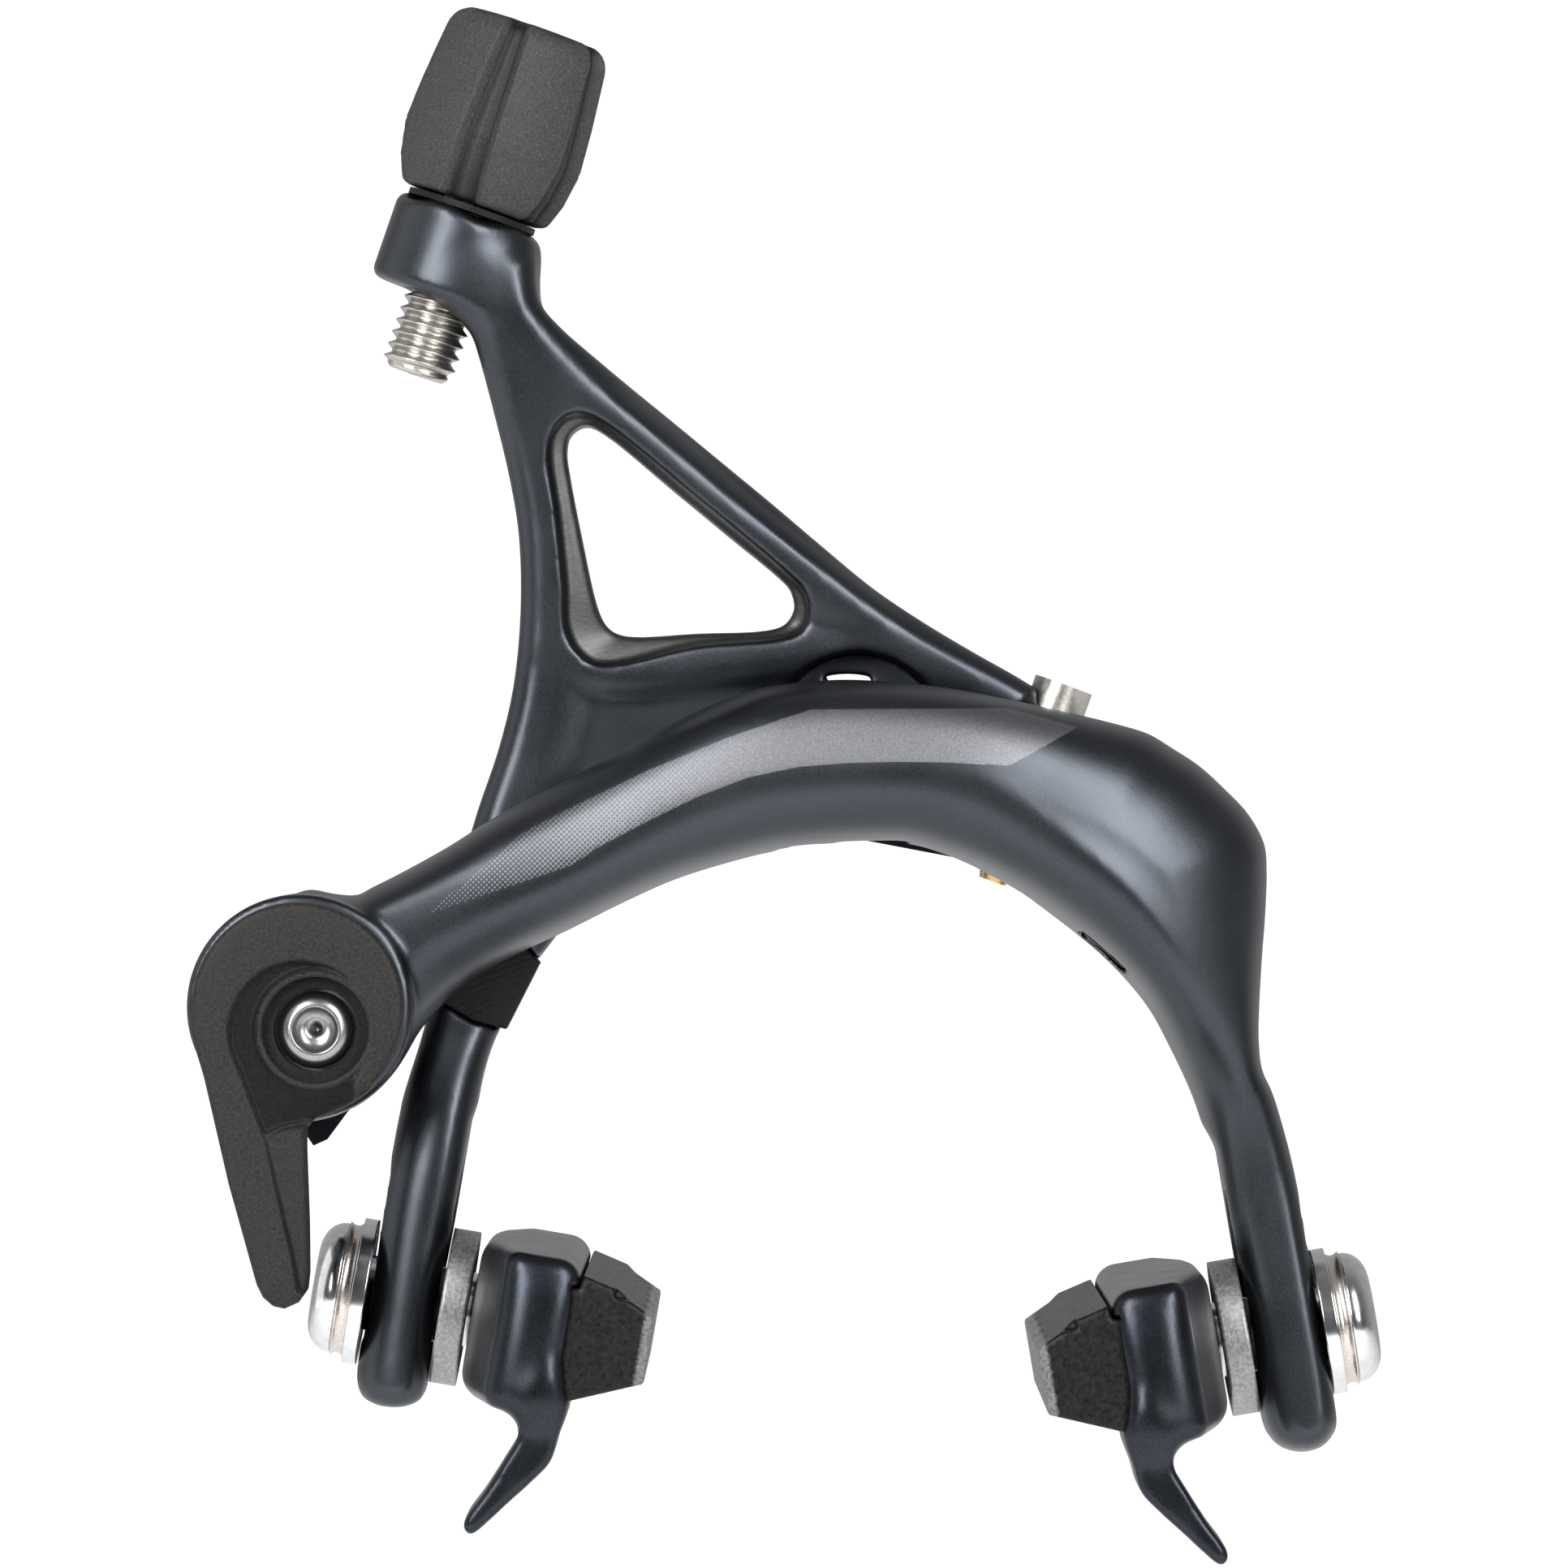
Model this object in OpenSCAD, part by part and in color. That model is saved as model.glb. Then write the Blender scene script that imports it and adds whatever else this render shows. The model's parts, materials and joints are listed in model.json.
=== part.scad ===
// Rim brake caliper: dual-pivot, side-pull, with release lever and barrel adjuster.
// Frame: origin on the mounting bolt's axis at the fork seat, +Y towards the fork, +Z up.

/* [Pivots] */
// Sideways distance of the second pivot from the mounting bolt
pivot_x = 24.2; // [22:0.1:27]
// Drop of the second pivot below the mounting bolt
pivot_drop = 5; // [3:0.1:7]
// Length of the M6 stud behind the fork seat
stud_length = 30; // [12:1:45]
// Diameter of the mounting stud
stud_d = 6; // [5:0.1:6.2]

/* [Brake shoes] */
// Slope of each pad bolt's axis with the arms open, degrees
pad_tilt = 9.6; // [6:0.1:12]
// Depth of the legs' middle plane in front of the fork seat
leg_depth = 15; // [13:0.5:17]
// Length of each shoe along the rim
shoe_length = 50; // [40:1:55]
// Diameter of the blasted spacer between leg and shoe
spacer_d = 12.5; // [11:0.1:13]
// Diameter of the pad bolt's head
pad_head_d = 10.4; // [9:0.1:11.4]

/* [Quick release] */
// Radius of the lever's disc
lever_r = 8.3; // [7.5:0.1:8.6]
// Reach of the lever's blade below the disc's centre
lever_reach = 24; // [20:0.5:26]
// Diameter of the cable anchor bolt's head
anchor_head_d = 6; // [5:0.1:7]

/* [Barrel adjuster] */
// Lean of the adjuster's axis, degrees
adjuster_lean = 19; // [15:0.5:23]
// Length of the knob
knob_length = 15.3; // [13:0.1:16]
// Largest diameter of the knob
knob_d = 14.9; // [13:0.1:16]
// Outside diameter of the threaded stud
barrel_d = 5.9; // [5:0.1:6]
// Diameter of the boss that holds the adjuster
boss_d = 12; // [11:0.1:12.6]

/* [Hidden] */

$fn = 64;
cut = 0.1;
run = 0.05;

// Pivot layers, front to back
bridge_front = -7;
bridge_back = -2;
hub_front = -16.9;
hub_back = -7.6;
rear_face = -17;
web_front = -16.6;
web_back = -11.1;
front_back = -17.3;
head_back = -17.5;
bearing_r = 3.5;
register_r = 3.2;
hub_r = 6;
hub_bore_r = 4.4;
washer_r = 5;
bolt_head_r = 4.8;
bridge_r = 6.2;
offset_pivot = [pivot_x, -pivot_drop];
offset_boss_r = 5.2;
offset_pin_r = 3;
offset_bush_r = 3.9;
mid_pivot = offset_pivot / 2;
pin_back = -15.4;

// Release parts
disc = [-43.3, -19.3];
boss_r = 8.9;
anchor = disc + [1.4, -1.7];
cam_r = 6;
lever_front = -33.6;
lever_back = -30;
boss_front = -29.7;

// Pad bolt stations: where each axis crosses its leg's middle
left_leg = [-35.5, -42.9];
right_leg = [34.95, -45.3];
leg_half = 2.9;
pad_bolt_r = 3;
slot_up = 8.5;
slot_down = 1.5;

// Barrel adjuster and centering screw
boss_top = [-30.05, 44.3];
screw_mid = [14.35, -2];
screw_depth = 13;
screw_lean = 20;

// ---------- helpers ----------

// A flat outline in the XZ plane, given thickness along Y
module slab(y0, y1) {
    translate([0, y1, 0])
        rotate([90, 0, 0])
            linear_extrude(y1 - y0)
                children();
}

// A rod along Y
module rod(p, y0, y1, r) {
    translate([p[0], y0, p[1]])
        rotate([-90, 0, 0])
            cylinder(h = y1 - y0, r = r);
}

// A ring along Y
module ring(p, y0, y1, r_out, r_in) {
    difference() {
        rod(p, y0, y1, r_out);
        rod(p, y0 - cut, y1 + cut, r_in);
    }
}

// A turned shape along Y; points are [radius, y]
module turned_y(p, points) {
    translate([p[0], 0, p[1]])
        rotate([-90, 0, 0])
            rotate_extrude()
                polygon(points);
}

// A turned shape along X; points are [radius, x]
module turned_x(points) {
    rotate([0, 90, 0])
        rotate_extrude()
            polygon(points);
}

// Local frame of a pad bolt: +X runs from the head to the rim, +Z up the leg
module pad_frame(side) {
    leg = side < 0 ? left_leg : right_leg;
    translate([leg[0], -leg_depth, leg[1]])
        mirror([side < 0 ? 0 : 1, 0, 0])
            rotate([0, pad_tilt, 0])
                children();
}

// Local frame of the barrel adjuster: +Z runs up through the knob
module adjuster_frame() {
    translate([boss_top[0], -leg_depth, boss_top[1]])
        rotate([0, adjuster_lean, 0])
            children();
}

// Local frame of the centering screw: +Z runs up to its head
module screw_frame() {
    translate([screw_mid[0], -screw_depth, screw_mid[1]])
        rotate([0, screw_lean, 0])
            children();
}

// ---------- arms as lofts ----------
// A rib is [outer x, outer z, inner x, inner z, front y, back y, crest], where crest says how far
// across the rib the front stands highest: 0 at the outer edge, 1 at the inner edge. Ribs are listed
// so that the outer edge is on the left hand as the list runs on, seen from the front.

rib_steps = 3;
rib_sides = 16;
rib_round = 0.55;

function spline(a, b, c, d, t) =
    0.5 * (2 * b + (c - a) * t + (2 * a - 5 * b + 4 * c - d) * t * t
        + (3 * b - a - 3 * c + d) * t * t * t);

function smooth_ribs(ribs) = let (n = len(ribs)) [
    for (i = [0 : n - 2])
        for (k = [0 : rib_steps - 1])
            spline(ribs[max(i - 1, 0)], ribs[i], ribs[i + 1], ribs[min(i + 2, n - 1)],
                k / rib_steps),
    ribs[n - 1]
];

function soft_power(v) = sign(v) * pow(abs(v), rib_round);

function rib_point(rib, angle) = let (
    across = soft_power(cos(angle)),
    depth = soft_power(sin(angle)),
    lean = (rib[6] - 0.5) * pow(max(0, -depth), 2),
    t = 0.5 - 0.5 * across + lean * (1 - abs(across))
) [
    rib[0] + (rib[2] - rib[0]) * t,
    (rib[4] + rib[5]) / 2 + depth * (rib[5] - rib[4]) / 2,
    rib[1] + (rib[3] - rib[1]) * t
];

module loft(ribs) {
    rows = smooth_ribs(ribs);
    n = len(rows);
    m = rib_sides;
    points = [
        for (row = rows)
            for (k = [0 : m - 1])
                rib_point(row, 360 * (k + 0.5) / m)
    ];
    walls = [
        for (i = [0 : n - 2])
            for (k = [0 : m - 1])
                let (a = i * m + k, b = i * m + (k + 1) % m)
                    each [[a, b, b + m], [a, b + m, a + m]]
    ];
    start = [for (k = [m - 1 : -1 : 0]) k];
    end = [for (k = [0 : m - 1]) (n - 1) * m + k];
    polyhedron(points = points, faces = concat(walls, [start, end]));
}

FRONT_RIBS = [
    [-41.5, -11.6, -42.4, -27.2, boss_front + 0.2, front_back, 0.4],
    [-38.5, -10.6, -38.6, -26.2, -29.3, front_back, 0.4],
    [-35.6, -9.0, -35.2, -22.6, -28.9, front_back, 0.45],
    [-32.2, -6.9, -31.4, -18.4, -28.6, front_back, 0.5],
    [-27.6, -4.2, -26.0, -15.1, -28.4, front_back, 0.5],
    [-22.2, -1.3, -19.6, -12.2, -28.3, front_back, 0.52],
    [-16.2, 1.9, -13.8, -9.4, -28.3, front_back, 0.52],
    [-10.4, 4.6, -8.2, -7.5, -28.3, front_back, 0.52],
    [-4.6, 6.3, -2.8, -6.6, -28.3, front_back, 0.52],
    [1.6, 6.6, 2.4, -6.4, -28.3, front_back, 0.55],
    [8.0, 5.9, 6.8, -7.0, -28.2, front_back, 0.6],
    [14.6, 4.7, 10.6, -8.8, -28.0, front_back, 0.64],
    [20.6, 3.3, 14.6, -11.2, -27.8, -16.9, 0.68],
    [25.4, 1.5, 18.6, -14.0, -27.5, -8.3, 0.7],
    [29.4, -1.5, 21.6, -16.7, -27.0, -8.1, 0.72],
    [32.3, -4.8, 23.9, -19.6, -26.4, -8.1, 0.72],
    [33.4, -9.5, 25.7, -22.8, -25.6, -8.2, 0.74],
    [33.2, -15.2, 27.1, -26.0, -24.8, -8.6, 0.76],
    [32.9, -21.0, 28.0, -28.8, -23.8, -9.0, 0.74],
    [33.3, -25.4, 28.7, -31.4, -22.6, -9.4, 0.6],
    [34.6, -29.4, 29.4, -34.2, -21.4, -9.5, 0.5],
    [35.9, -34.0, 30.2, -37.2, -20.8, -9.6, 0.5],
    [37.1, -40.0, 31.2, -42.0, -20.5, -9.6, 0.5],
    [38.2, -46.0, 32.2, -47.6, -20.5, -9.6, 0.5],
    [39.0, -50.6, 33.0, -51.8, -20.4, -9.7, 0.5],
    [39.0, -52.9, 33.8, -53.7, -20.0, -10.0, 0.5],
    [37.8, -54.6, 35.3, -55.0, -18.6, -11.4, 0.5]
];

LEFT_RIBS = [
    [-37.6, -51.2, -35.2, -51.4, -18.6, -11.4, 0.5],
    [-38.9, -49.6, -33.8, -50.2, -20.0, -10.0, 0.5],
    [-39.1, -47.8, -33.2, -48.4, -20.4, -9.7, 0.5],
    [-38.0, -41.4, -32.2, -42.2, -20.5, -9.6, 0.5],
    [-36.9, -35.4, -31.1, -36.2, -20.5, -9.6, 0.5],
    [-35.8, -29.6, -30.1, -30.2, -20.4, -9.6, 0.5],
    [-34.8, -24.6, -29.0, -24.8, -19.2, -9.6, 0.5],
    [-33.8, -20.2, -27.4, -20.6, rear_face, -9.8, 0.5],
    [-32.6, -15.2, -24.8, -16.4, rear_face, -10.0, 0.5],
    [-31.2, -9.8, -22.0, -12.0, rear_face, -10.2, 0.5],
    [-29.6, -4.4, -19.6, -6.4, rear_face, -10.4, 0.5],
    [-28.0, 1.0, -18.4, 0.0, rear_face, -10.6, 0.5],
    [-26.8, 6.4, -18.4, 6.0, rear_face, -10.6, 0.5],
    [-26.2, 11.6, -19.2, 12.0, -17.4, -10.6, 0.5],
    [-26.3, 16.6, -20.2, 17.0, -18.0, -10.6, 0.5],
    [-26.9, 21.6, -21.0, 22.2, -18.2, -10.6, 0.5],
    [-27.9, 26.4, -21.4, 27.0, -18.5, -10.5, 0.5],
    [-29.2, 30.6, -21.8, 31.8, -19.0, -10.2, 0.5],
    [-31.6, 34.6, -23.8, 36.2, -19.8, -9.8, 0.5],
    [-35.2, 37.9, -25.4, 39.6, -20.6, -9.4, 0.5]
];

STRUT_RIBS = [
    [-24.6, 39.6, -33.0, 35.2, -20.2, -9.6, 0.5],
    [-24.2, 36.4, -29.2, 31.0, -19.6, -10.0, 0.5],
    [-21.0, 33.1, -25.2, 27.9, -19.0, -10.4, 0.5],
    [-16.6, 29.5, -19.9, 25.4, -18.6, -10.6, 0.5],
    [-10.6, 24.5, -13.5, 20.9, -18.4, -10.6, 0.5],
    [-4.6, 19.5, -7.5, 15.9, -18.2, -10.6, 0.5],
    [1.2, 14.8, -2.8, 10.2, -17.8, -10.6, 0.5],
    [6.4, 11.2, 3.0, 5.4, rear_face, -10.4, 0.5],
    [11.0, 8.6, 7.6, 0.6, rear_face, -10.2, 0.5],
    [15.0, 6.6, 9.8, -3.0, -16.8, -9.9, 0.5]
];

// Web below the window, down to the hub
WEB = [
    [-24.5, 9.2], [-18, 9.2], [-6, 10.2], [-3.4, 11.6], [0, 12], [5, 7.2], [9, 4], [9.5, -3],
    [4.5, -5.4], [-4.5, -5.4], [-12, -6.8], [-19, -9], [-25, -12], [-27, -4]
];

// Guide at the arch's left foot, and the pocket it sits in
GUIDE = [[-26.2, -15.6], [-24.4, -16.2], [-27.2, -21.3], [-29.9, -20.7]];

// ---------- mount group ----------

module mounting_bolt() {
    color("silver")
        difference() {
            turned_y([0, 0], [
                [0, -20.5], [4.2, -20.5], [bolt_head_r, -19.9], [bolt_head_r, head_back],
                [bearing_r, head_back], [bearing_r, bridge_back], [register_r, bridge_back],
                [register_r, 0], [stud_d / 2, 0], [stud_d / 2, stud_length - 1],
                [stud_d / 2 - 1, stud_length], [0, stud_length]
            ]);
            rod([0, 0], -20.5 - cut, -18.2, 2);
        }
}

module seat_washer() {
    color("silver")
        ring([0, 0], bridge_back, 0, bridge_r, register_r);
}

module pivot_bridge() {
    color("dimgray")
        difference() {
            union() {
                rod([0, 0], bridge_front, bridge_back, bridge_r);
                rod(offset_pivot, bridge_front, bridge_back, offset_boss_r + 0.6);
                slab(bridge_front, bridge_back)
                    polygon([
                        [-1, 5.6], [pivot_x + 1, -0.2], [pivot_x - 1, -10.4], [-1, -5.8],
                        [-5, -2], [-9.8, 4.2], [-7, 9.2], [-3, 9.6]
                    ]);
            }
            rod([0, 0], bridge_front - cut, bridge_back + cut, bearing_r);
            rod(offset_pivot, bridge_front - cut, bridge_back + cut, offset_bush_r);
            rod(offset_pivot, bridge_back - 2, bridge_back + cut, 4.9);
        }
}

module front_thrust_washer() {
    color("goldenrod")
        ring([0, 0], head_back, hub_front - run, washer_r, bearing_r);
}

module rear_thrust_washer() {
    color("goldenrod")
        ring([0, 0], hub_back + run, bridge_front, washer_r, bearing_r);
}

module offset_bushing() {
    color("goldenrod")
        ring(offset_pivot, bridge_front, bridge_back - 2, offset_bush_r, offset_pin_r + run);
}

module offset_thrust_washer() {
    color("goldenrod")
        ring(offset_pivot, bridge_front - 0.5, bridge_front, 4.6, offset_pin_r + run);
}

// Spring wire: an arch over the hub with a straight arm on each side
spring_y = -8.7;
wire_r = 0.9;
bead_r = 0.94;
arch_r = 8.7;
arch_bends = 4;
spring_ends = [[-18.5, -5.6], [14.6, -8.6]];

// Angle at which a line from p meets the arch as a tangent
function tangent_angle(p, turn) = atan2(p[1], p[0]) + turn * acos(arch_r / norm(p));
left_tangent = 360 + tangent_angle(spring_ends[0], -1);
right_tangent = tangent_angle(spring_ends[1], 1);
bend = (left_tangent - right_tangent) / arch_bends;

spring_route = concat(
    [spring_ends[0]],
    [for (i = [0 : arch_bends]) arch_r * [cos(left_tangent - i * bend), sin(left_tangent - i * bend)]],
    [spring_ends[1]]
);

module straight_wire(a, b, r) {
    along = b - a;
    translate([a[0], spring_y, a[1]])
        rotate([0, atan2(along[0], along[1]), 0])
            cylinder(h = norm(along), r = r);
}

module return_spring() {
    last = len(spring_route) - 1;
    color("gray") {
        for (i = [0 : last - 1])
            straight_wire(spring_route[i], spring_route[i + 1], wire_r);
        for (i = [1 : last - 1])
            translate([spring_route[i][0], spring_y, spring_route[i][1]])
                sphere(bead_r);
    }
}

// Clip over the arch, with a channel for the wire
module spring_clip() {
    color("black")
        difference() {
            slab(spring_y - 1.6, bridge_front)
                polygon([[-2.4, 7], [-3, 10.2], [-6.9, 8.2], [-5.3, 5]]);
            ring([0, 0], spring_y - 1, spring_y + 1, arch_r + 1, arch_r - 1.4);
        }
}

// ---------- front arm ----------

module bolt_pocket() {
    for (p = [[0, 0], [-0.5, -3.9]])
        rod(p, -21.1, front_back + 1, washer_r + 0.5);
    slab(-21.1, front_back + 1)
        polygon([[-5.5, 0], [5.5, 0], [5.2, -10], [-6.2, -10]]);
}

module front_arm() {
    color([0.2, 0.22, 0.26])
        difference() {
            union() {
                loft(FRONT_RIBS);
                rod(disc, boss_front, front_back, boss_r);
                rod(offset_pivot, -18, bridge_front - 0.6, offset_boss_r);
            }
            bolt_pocket();
            rod(disc, boss_front - cut, front_back + cut, cam_r + run);
            rod(offset_pivot, -18, 0, offset_pin_r);
            rod(mid_pivot, -20, front_back + 1, 1.75);
            slab(-22, -12)
                polygon([[18.6, -13.2], [22.3, -16.4], [23.4, -15], [19.6, -12]]);
            leg_trim(1);
        }
}

// Flats and the bolt slot of a leg
module leg_trim(side) {
    pad_frame(side) {
        for (x = [-leg_half - 4, leg_half])
            translate([x, -8, -9])
                cube([4, 16, 25.2]);
        translate([-5, -pad_bolt_r - 0.1, -slot_down])
            cube([10, 2 * pad_bolt_r + 0.2, slot_up + slot_down]);
        for (z = [-slot_down, slot_up])
            translate([-5, 0, z])
                rotate([0, 90, 0])
                    cylinder(h = 10, r = pad_bolt_r + 0.1);
    }
}

module offset_pivot_bolt() {
    color("silver")
        difference() {
            turned_y(offset_pivot, [
                [0, -17.5], [offset_pin_r, -17.5], [offset_pin_r, bridge_back - 1.9],
                [4.4, bridge_back - 1.9], [4.4, bridge_back + 0.9], [0, bridge_back + 0.9]
            ]);
            rod(offset_pivot, bridge_back - 1, bridge_back + 1, 2);
        }
}

module equalizer_pin() {
    color("silver")
        rod(mid_pivot, -20, pin_back, 1.75);
}

module lever_washer() {
    color("gray")
        ring(disc, lever_back + run, boss_front, 7.4, cam_r + 0.2);
}

module spring_insert() {
    color("black")
        slab(-21.9, -12.1)
            polygon([[19.2, -13.4], [21.9, -15.8], [22.6, -15], [19.9, -12.7]]);
}

// ---------- rear arm ----------

// Slot and scooped recess over the hub, open to the front
module hub_relief() {
    intersection() {
        ring([0, 0], -18, -5, 7.2, 6.3);
        slab(-19, -4)
            polygon([[0, 3], [6, 12], [-6, 12]]);
    }
    intersection() {
        turned_y([0, 0], [[6.3, -17.4], [9.6, -17.4], [7.2, -13.4], [6.3, -13.4]]);
        slab(-19, -4)
            polygon([[0, 0], [16, 9], [16, 16], [-16, 16], [-16, 9]]);
    }
}

module rear_arm() {
    color([0.17, 0.19, 0.23])
        difference() {
            union() {
                loft(LEFT_RIBS);
                loft(STRUT_RIBS);
                slab(web_front, web_back)
                    polygon(WEB);
                rod([0, 0], hub_front, hub_back, hub_r);
                screw_frame()
                    translate([0, 0, -6.6])
                        cylinder(h = 13, r = 3.1);
                adjuster_frame()
                    translate([0, 0, -7.6])
                        cylinder(h = 7.2, r = boss_d / 2);
            }
            hub_relief();
            rod([0, 0], -20, 0, hub_bore_r);
            screw_frame()
                translate([0, 0, -12])
                    cylinder(h = 24, r = 2);
            screw_frame()
                translate([0, 0, -7])
                    cylinder(h = 2.6, r = 2.5);
            adjuster_frame()
                translate([0, 0, -8])
                    cylinder(h = 18, r = barrel_d / 2 + run);
            adjuster_frame()
                translate([0, 0, -17])
                    cylinder(h = 9.2, r = barrel_d / 2 + 0.35);
            translate([mid_pivot[0], 0, mid_pivot[1]])
                rotate([0, -atan2(mid_pivot[1], mid_pivot[0]), 0])
                    translate([-2.6, -17.5, -1.95])
                        cube([5.2, 17.5 + pin_back + 0.2, 3.9]);
            slab(-16.4 - run, -12 + run)
                polygon(GUIDE);
            leg_trim(-1);
        }
}

module centre_bushing() {
    color("goldenrod")
        ring([0, 0], hub_front, hub_back, hub_bore_r, bearing_r + run);
}

module spring_guide() {
    color([0.08, 0.08, 0.09])
        slab(-16.4, -12)
            polygon(GUIDE);
}

module adjuster_seal() {
    color("black")
        adjuster_frame()
            translate([0, 0, -0.4])
                difference() {
                    cylinder(h = 0.5, r = 5.3);
                    translate([0, 0, -1])
                        cylinder(h = 3, r = barrel_d / 2 + 0.3);
                }
}

module screw_sleeve() {
    color("black")
        screw_frame()
            translate([0, 0, -7])
                difference() {
                    cylinder(h = 2.6, r = 2.5);
                    translate([0, 0, -1])
                        cylinder(h = 6, r = 2);
                }
}

// ---------- adjustment ----------

module centering_screw() {
    color("silver")
        screw_frame()
            difference() {
                union() {
                    translate([0, 0, -6.6])
                        cylinder(h = 13.6, r = 2 - run);
                    translate([0, 0, 6.5])
                        cylinder(h = 2.3, r = 2.4);
                }
                translate([0, 0, 7.3])
                    cylinder(h = 3, r = 1.2, $fn = 6);
            }
}

module centering_screw_tip() {
    color("gold")
        screw_frame()
            translate([0, 0, -8])
                cylinder(h = 1.4, r1 = 1.1, r2 = 1.5);
}

// Knob outline: [radius, height above the boss]
KNOB_PROFILE = [
    [0, 0.3], [6.1, 0.3], [6.95, 2.5], [knob_d / 2, 5.2], [7.25, 9], [6.75, 13],
    [6.1, knob_length - 0.7], [5.2, knob_length], [0, knob_length]
];
lobes = 5;
lobe_start = -100;

module adjuster_knob() {
    color([0.3, 0.3, 0.31])
        adjuster_frame()
            difference() {
                rotate_extrude()
                    polygon(KNOB_PROFILE);
                for (i = [0 : lobes - 1])
                    rotate([0, 0, lobe_start + i * 360 / lobes])
                        translate([8.6, 0, -1])
                            cylinder(h = knob_length + 2, r = 2);
                translate([0, 0, -1])
                    cylinder(h = 15, r = 4.2);
                translate([0, 0, 13])
                    cylinder(h = 5, r = 3);
            }
}

insert_length = 3.6;
seat_bottom = 4.8;
seat_top = 8.6;

module adjuster_insert() {
    color("goldenrod")
        adjuster_frame()
            translate([0, 0, 0.6])
                difference() {
                    cylinder(h = insert_length, r = 4.2);
                    translate([0, 0, -1])
                        cylinder(h = 10, r = barrel_d / 2 + run);
                }
}

module adjuster_stud() {
    color("silver")
        adjuster_frame()
            difference() {
                rotate_extrude()
                    polygon([
                        [0, -14], [barrel_d / 2 - 0.6, -14], [barrel_d / 2, -13.4],
                        [barrel_d / 2, seat_bottom - 0.4], [3.7, seat_bottom - 0.4],
                        [3.7, seat_top], [0, seat_top]
                    ]);
                translate([0, 0, seat_bottom])
                    cylinder(h = 5, r = 2.55);
                translate([0, 0, -15])
                    cylinder(h = 20, r = 0.8);
            }
}

// ---------- quick release ----------

module blade_outline() {
    low = disc[1] - lever_reach;
    polygon([
        [disc[0] - lever_r, disc[1]], [-50.2, -25.6], [-48.9, -30], [-47.2, -36],
        [-45.9, low + 2.4], [-44.9, low + 0.6], [-43.9, low], [-42.8, low + 1],
        [-42.1, low + 3], [-42, -36], [-42.5, -30], [-41.8, -27.2], disc
    ]);
}

module release_lever() {
    color([0.22, 0.22, 0.23])
        difference() {
            union() {
                rod(disc, lever_front, lever_back, lever_r);
                slab(lever_front + 0.2, lever_back)
                    blade_outline();
            }
            rod(anchor + [-0.3, 0.1], lever_front - 1, lever_front + 1.4, 5.2);
            rod(anchor, lever_front - 1, lever_back + 1, 4.15);
        }
}

module release_cam() {
    color("silver")
        difference() {
            rod(disc, lever_back, front_back, cam_r);
            rod(anchor, lever_back - 1, front_back + 1, 2.55);
        }
}

module release_cap_ring() {
    color("black")
        ring(anchor, lever_front + 1.4, lever_front + 2.2, 4.15, 3.3);
}

module anchor_bolt() {
    color("silver")
        difference() {
            turned_y(anchor, [
                [0, -33.4], [1.9, -33.4], [2.7, -33], [anchor_head_d / 2, -32.3],
                [anchor_head_d / 2, -30.1], [2.5, -30.1], [2.5, -14.4], [0, -14.4]
            ]);
            rod(anchor, -34, -31.4, 1.6);
        }
}

module anchor_plate() {
    color([0.35, 0.36, 0.38])
        difference() {
            union() {
                rod(anchor, front_back + 0.2, -15.8, 4.6);
                slab(front_back + 0.2, -15.8)
                    polygon([
                        anchor + [-4.4, -0.5], anchor + [4.4, -0.5], [-39.6, -27.4],
                        [-41.6, -30.1], [-42.7, -30.6], [-44.6, -27.8]
                    ]);
            }
            rod(anchor, front_back, -15, 2.5);
        }
}

module anchor_nut() {
    color("silver")
        difference() {
            rod(anchor, -15.8, -12.2, 4, $fn = 6);
            rod(anchor, -16, -12, 2.5);
        }
}

// ---------- brake shoes ----------

module pad_bolt(side) {
    color("silver")
        pad_frame(side)
            difference() {
                turned_x([
                    [0, -7.3], [2.6, -7.3], [4.2, -6.8], [pad_head_d / 2, -5.8],
                    [pad_head_d / 2, -5.2], [pad_bolt_r, -5.2], [pad_bolt_r, 5.3],
                    [2.6, 8.5], [0, 8.5]
                ]);
                translate([-8, 0, 0])
                    rotate([0, 90, 0])
                        cylinder(h = 2.8, r = 2.3, $fn = 6);
            }
}

module washer(side, x0, x1, r) {
    pad_frame(side)
        difference() {
            translate([x0, 0, 0])
                rotate([0, 90, 0])
                    cylinder(h = x1 - x0, r = r);
            translate([x0 - 1, 0, 0])
                rotate([0, 90, 0])
                    cylinder(h = x1 - x0 + 2, r = pad_bolt_r);
        }
}

module inner_washer(side) {
    color("silver")
        washer(side, -4.1, -leg_half - run, 5.85);
}

module outer_washer(side) {
    color("rosybrown")
        washer(side, -5.2, -4.1, 5.4);
}

module spacer(side) {
    color("lightgray")
        difference() {
            washer(side, leg_half + 0.15, 5.2, spacer_d / 2);
            pad_frame(side)
                rotate([0, 90, 0])
                    cylinder(h = 6, r = pad_bolt_r + run);
        }
}

// Sections of the holder in the pad frame's XZ plane: with its guide fin, and plain
HOLDER = [
    [5.3, -5.4], [5.3, 5], [6.6, 6.1], [13, 6.3], [14, 5.2], [14, -4.4], [14.4, -6], [14.2, -7.8],
    [13.9, -9.5], [12.9, -11.1], [11, -13.4], [9.7, -15.2], [8.8, -16.1], [8, -15.3], [9.1, -13],
    [10.1, -10.6], [11.2, -8], [11, -6.6], [10, -6.1], [6.4, -6.1]
];
HOLDER_END = [
    [5.3, -5.4], [5.3, 5], [6.6, 6.1], [13, 6.3], [14, 5.2], [14, -5], [13, -6.1], [6.4, -6.1]
];
fin_front = 1.2 - shoe_length / 2;
fin_length = 12;

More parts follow.
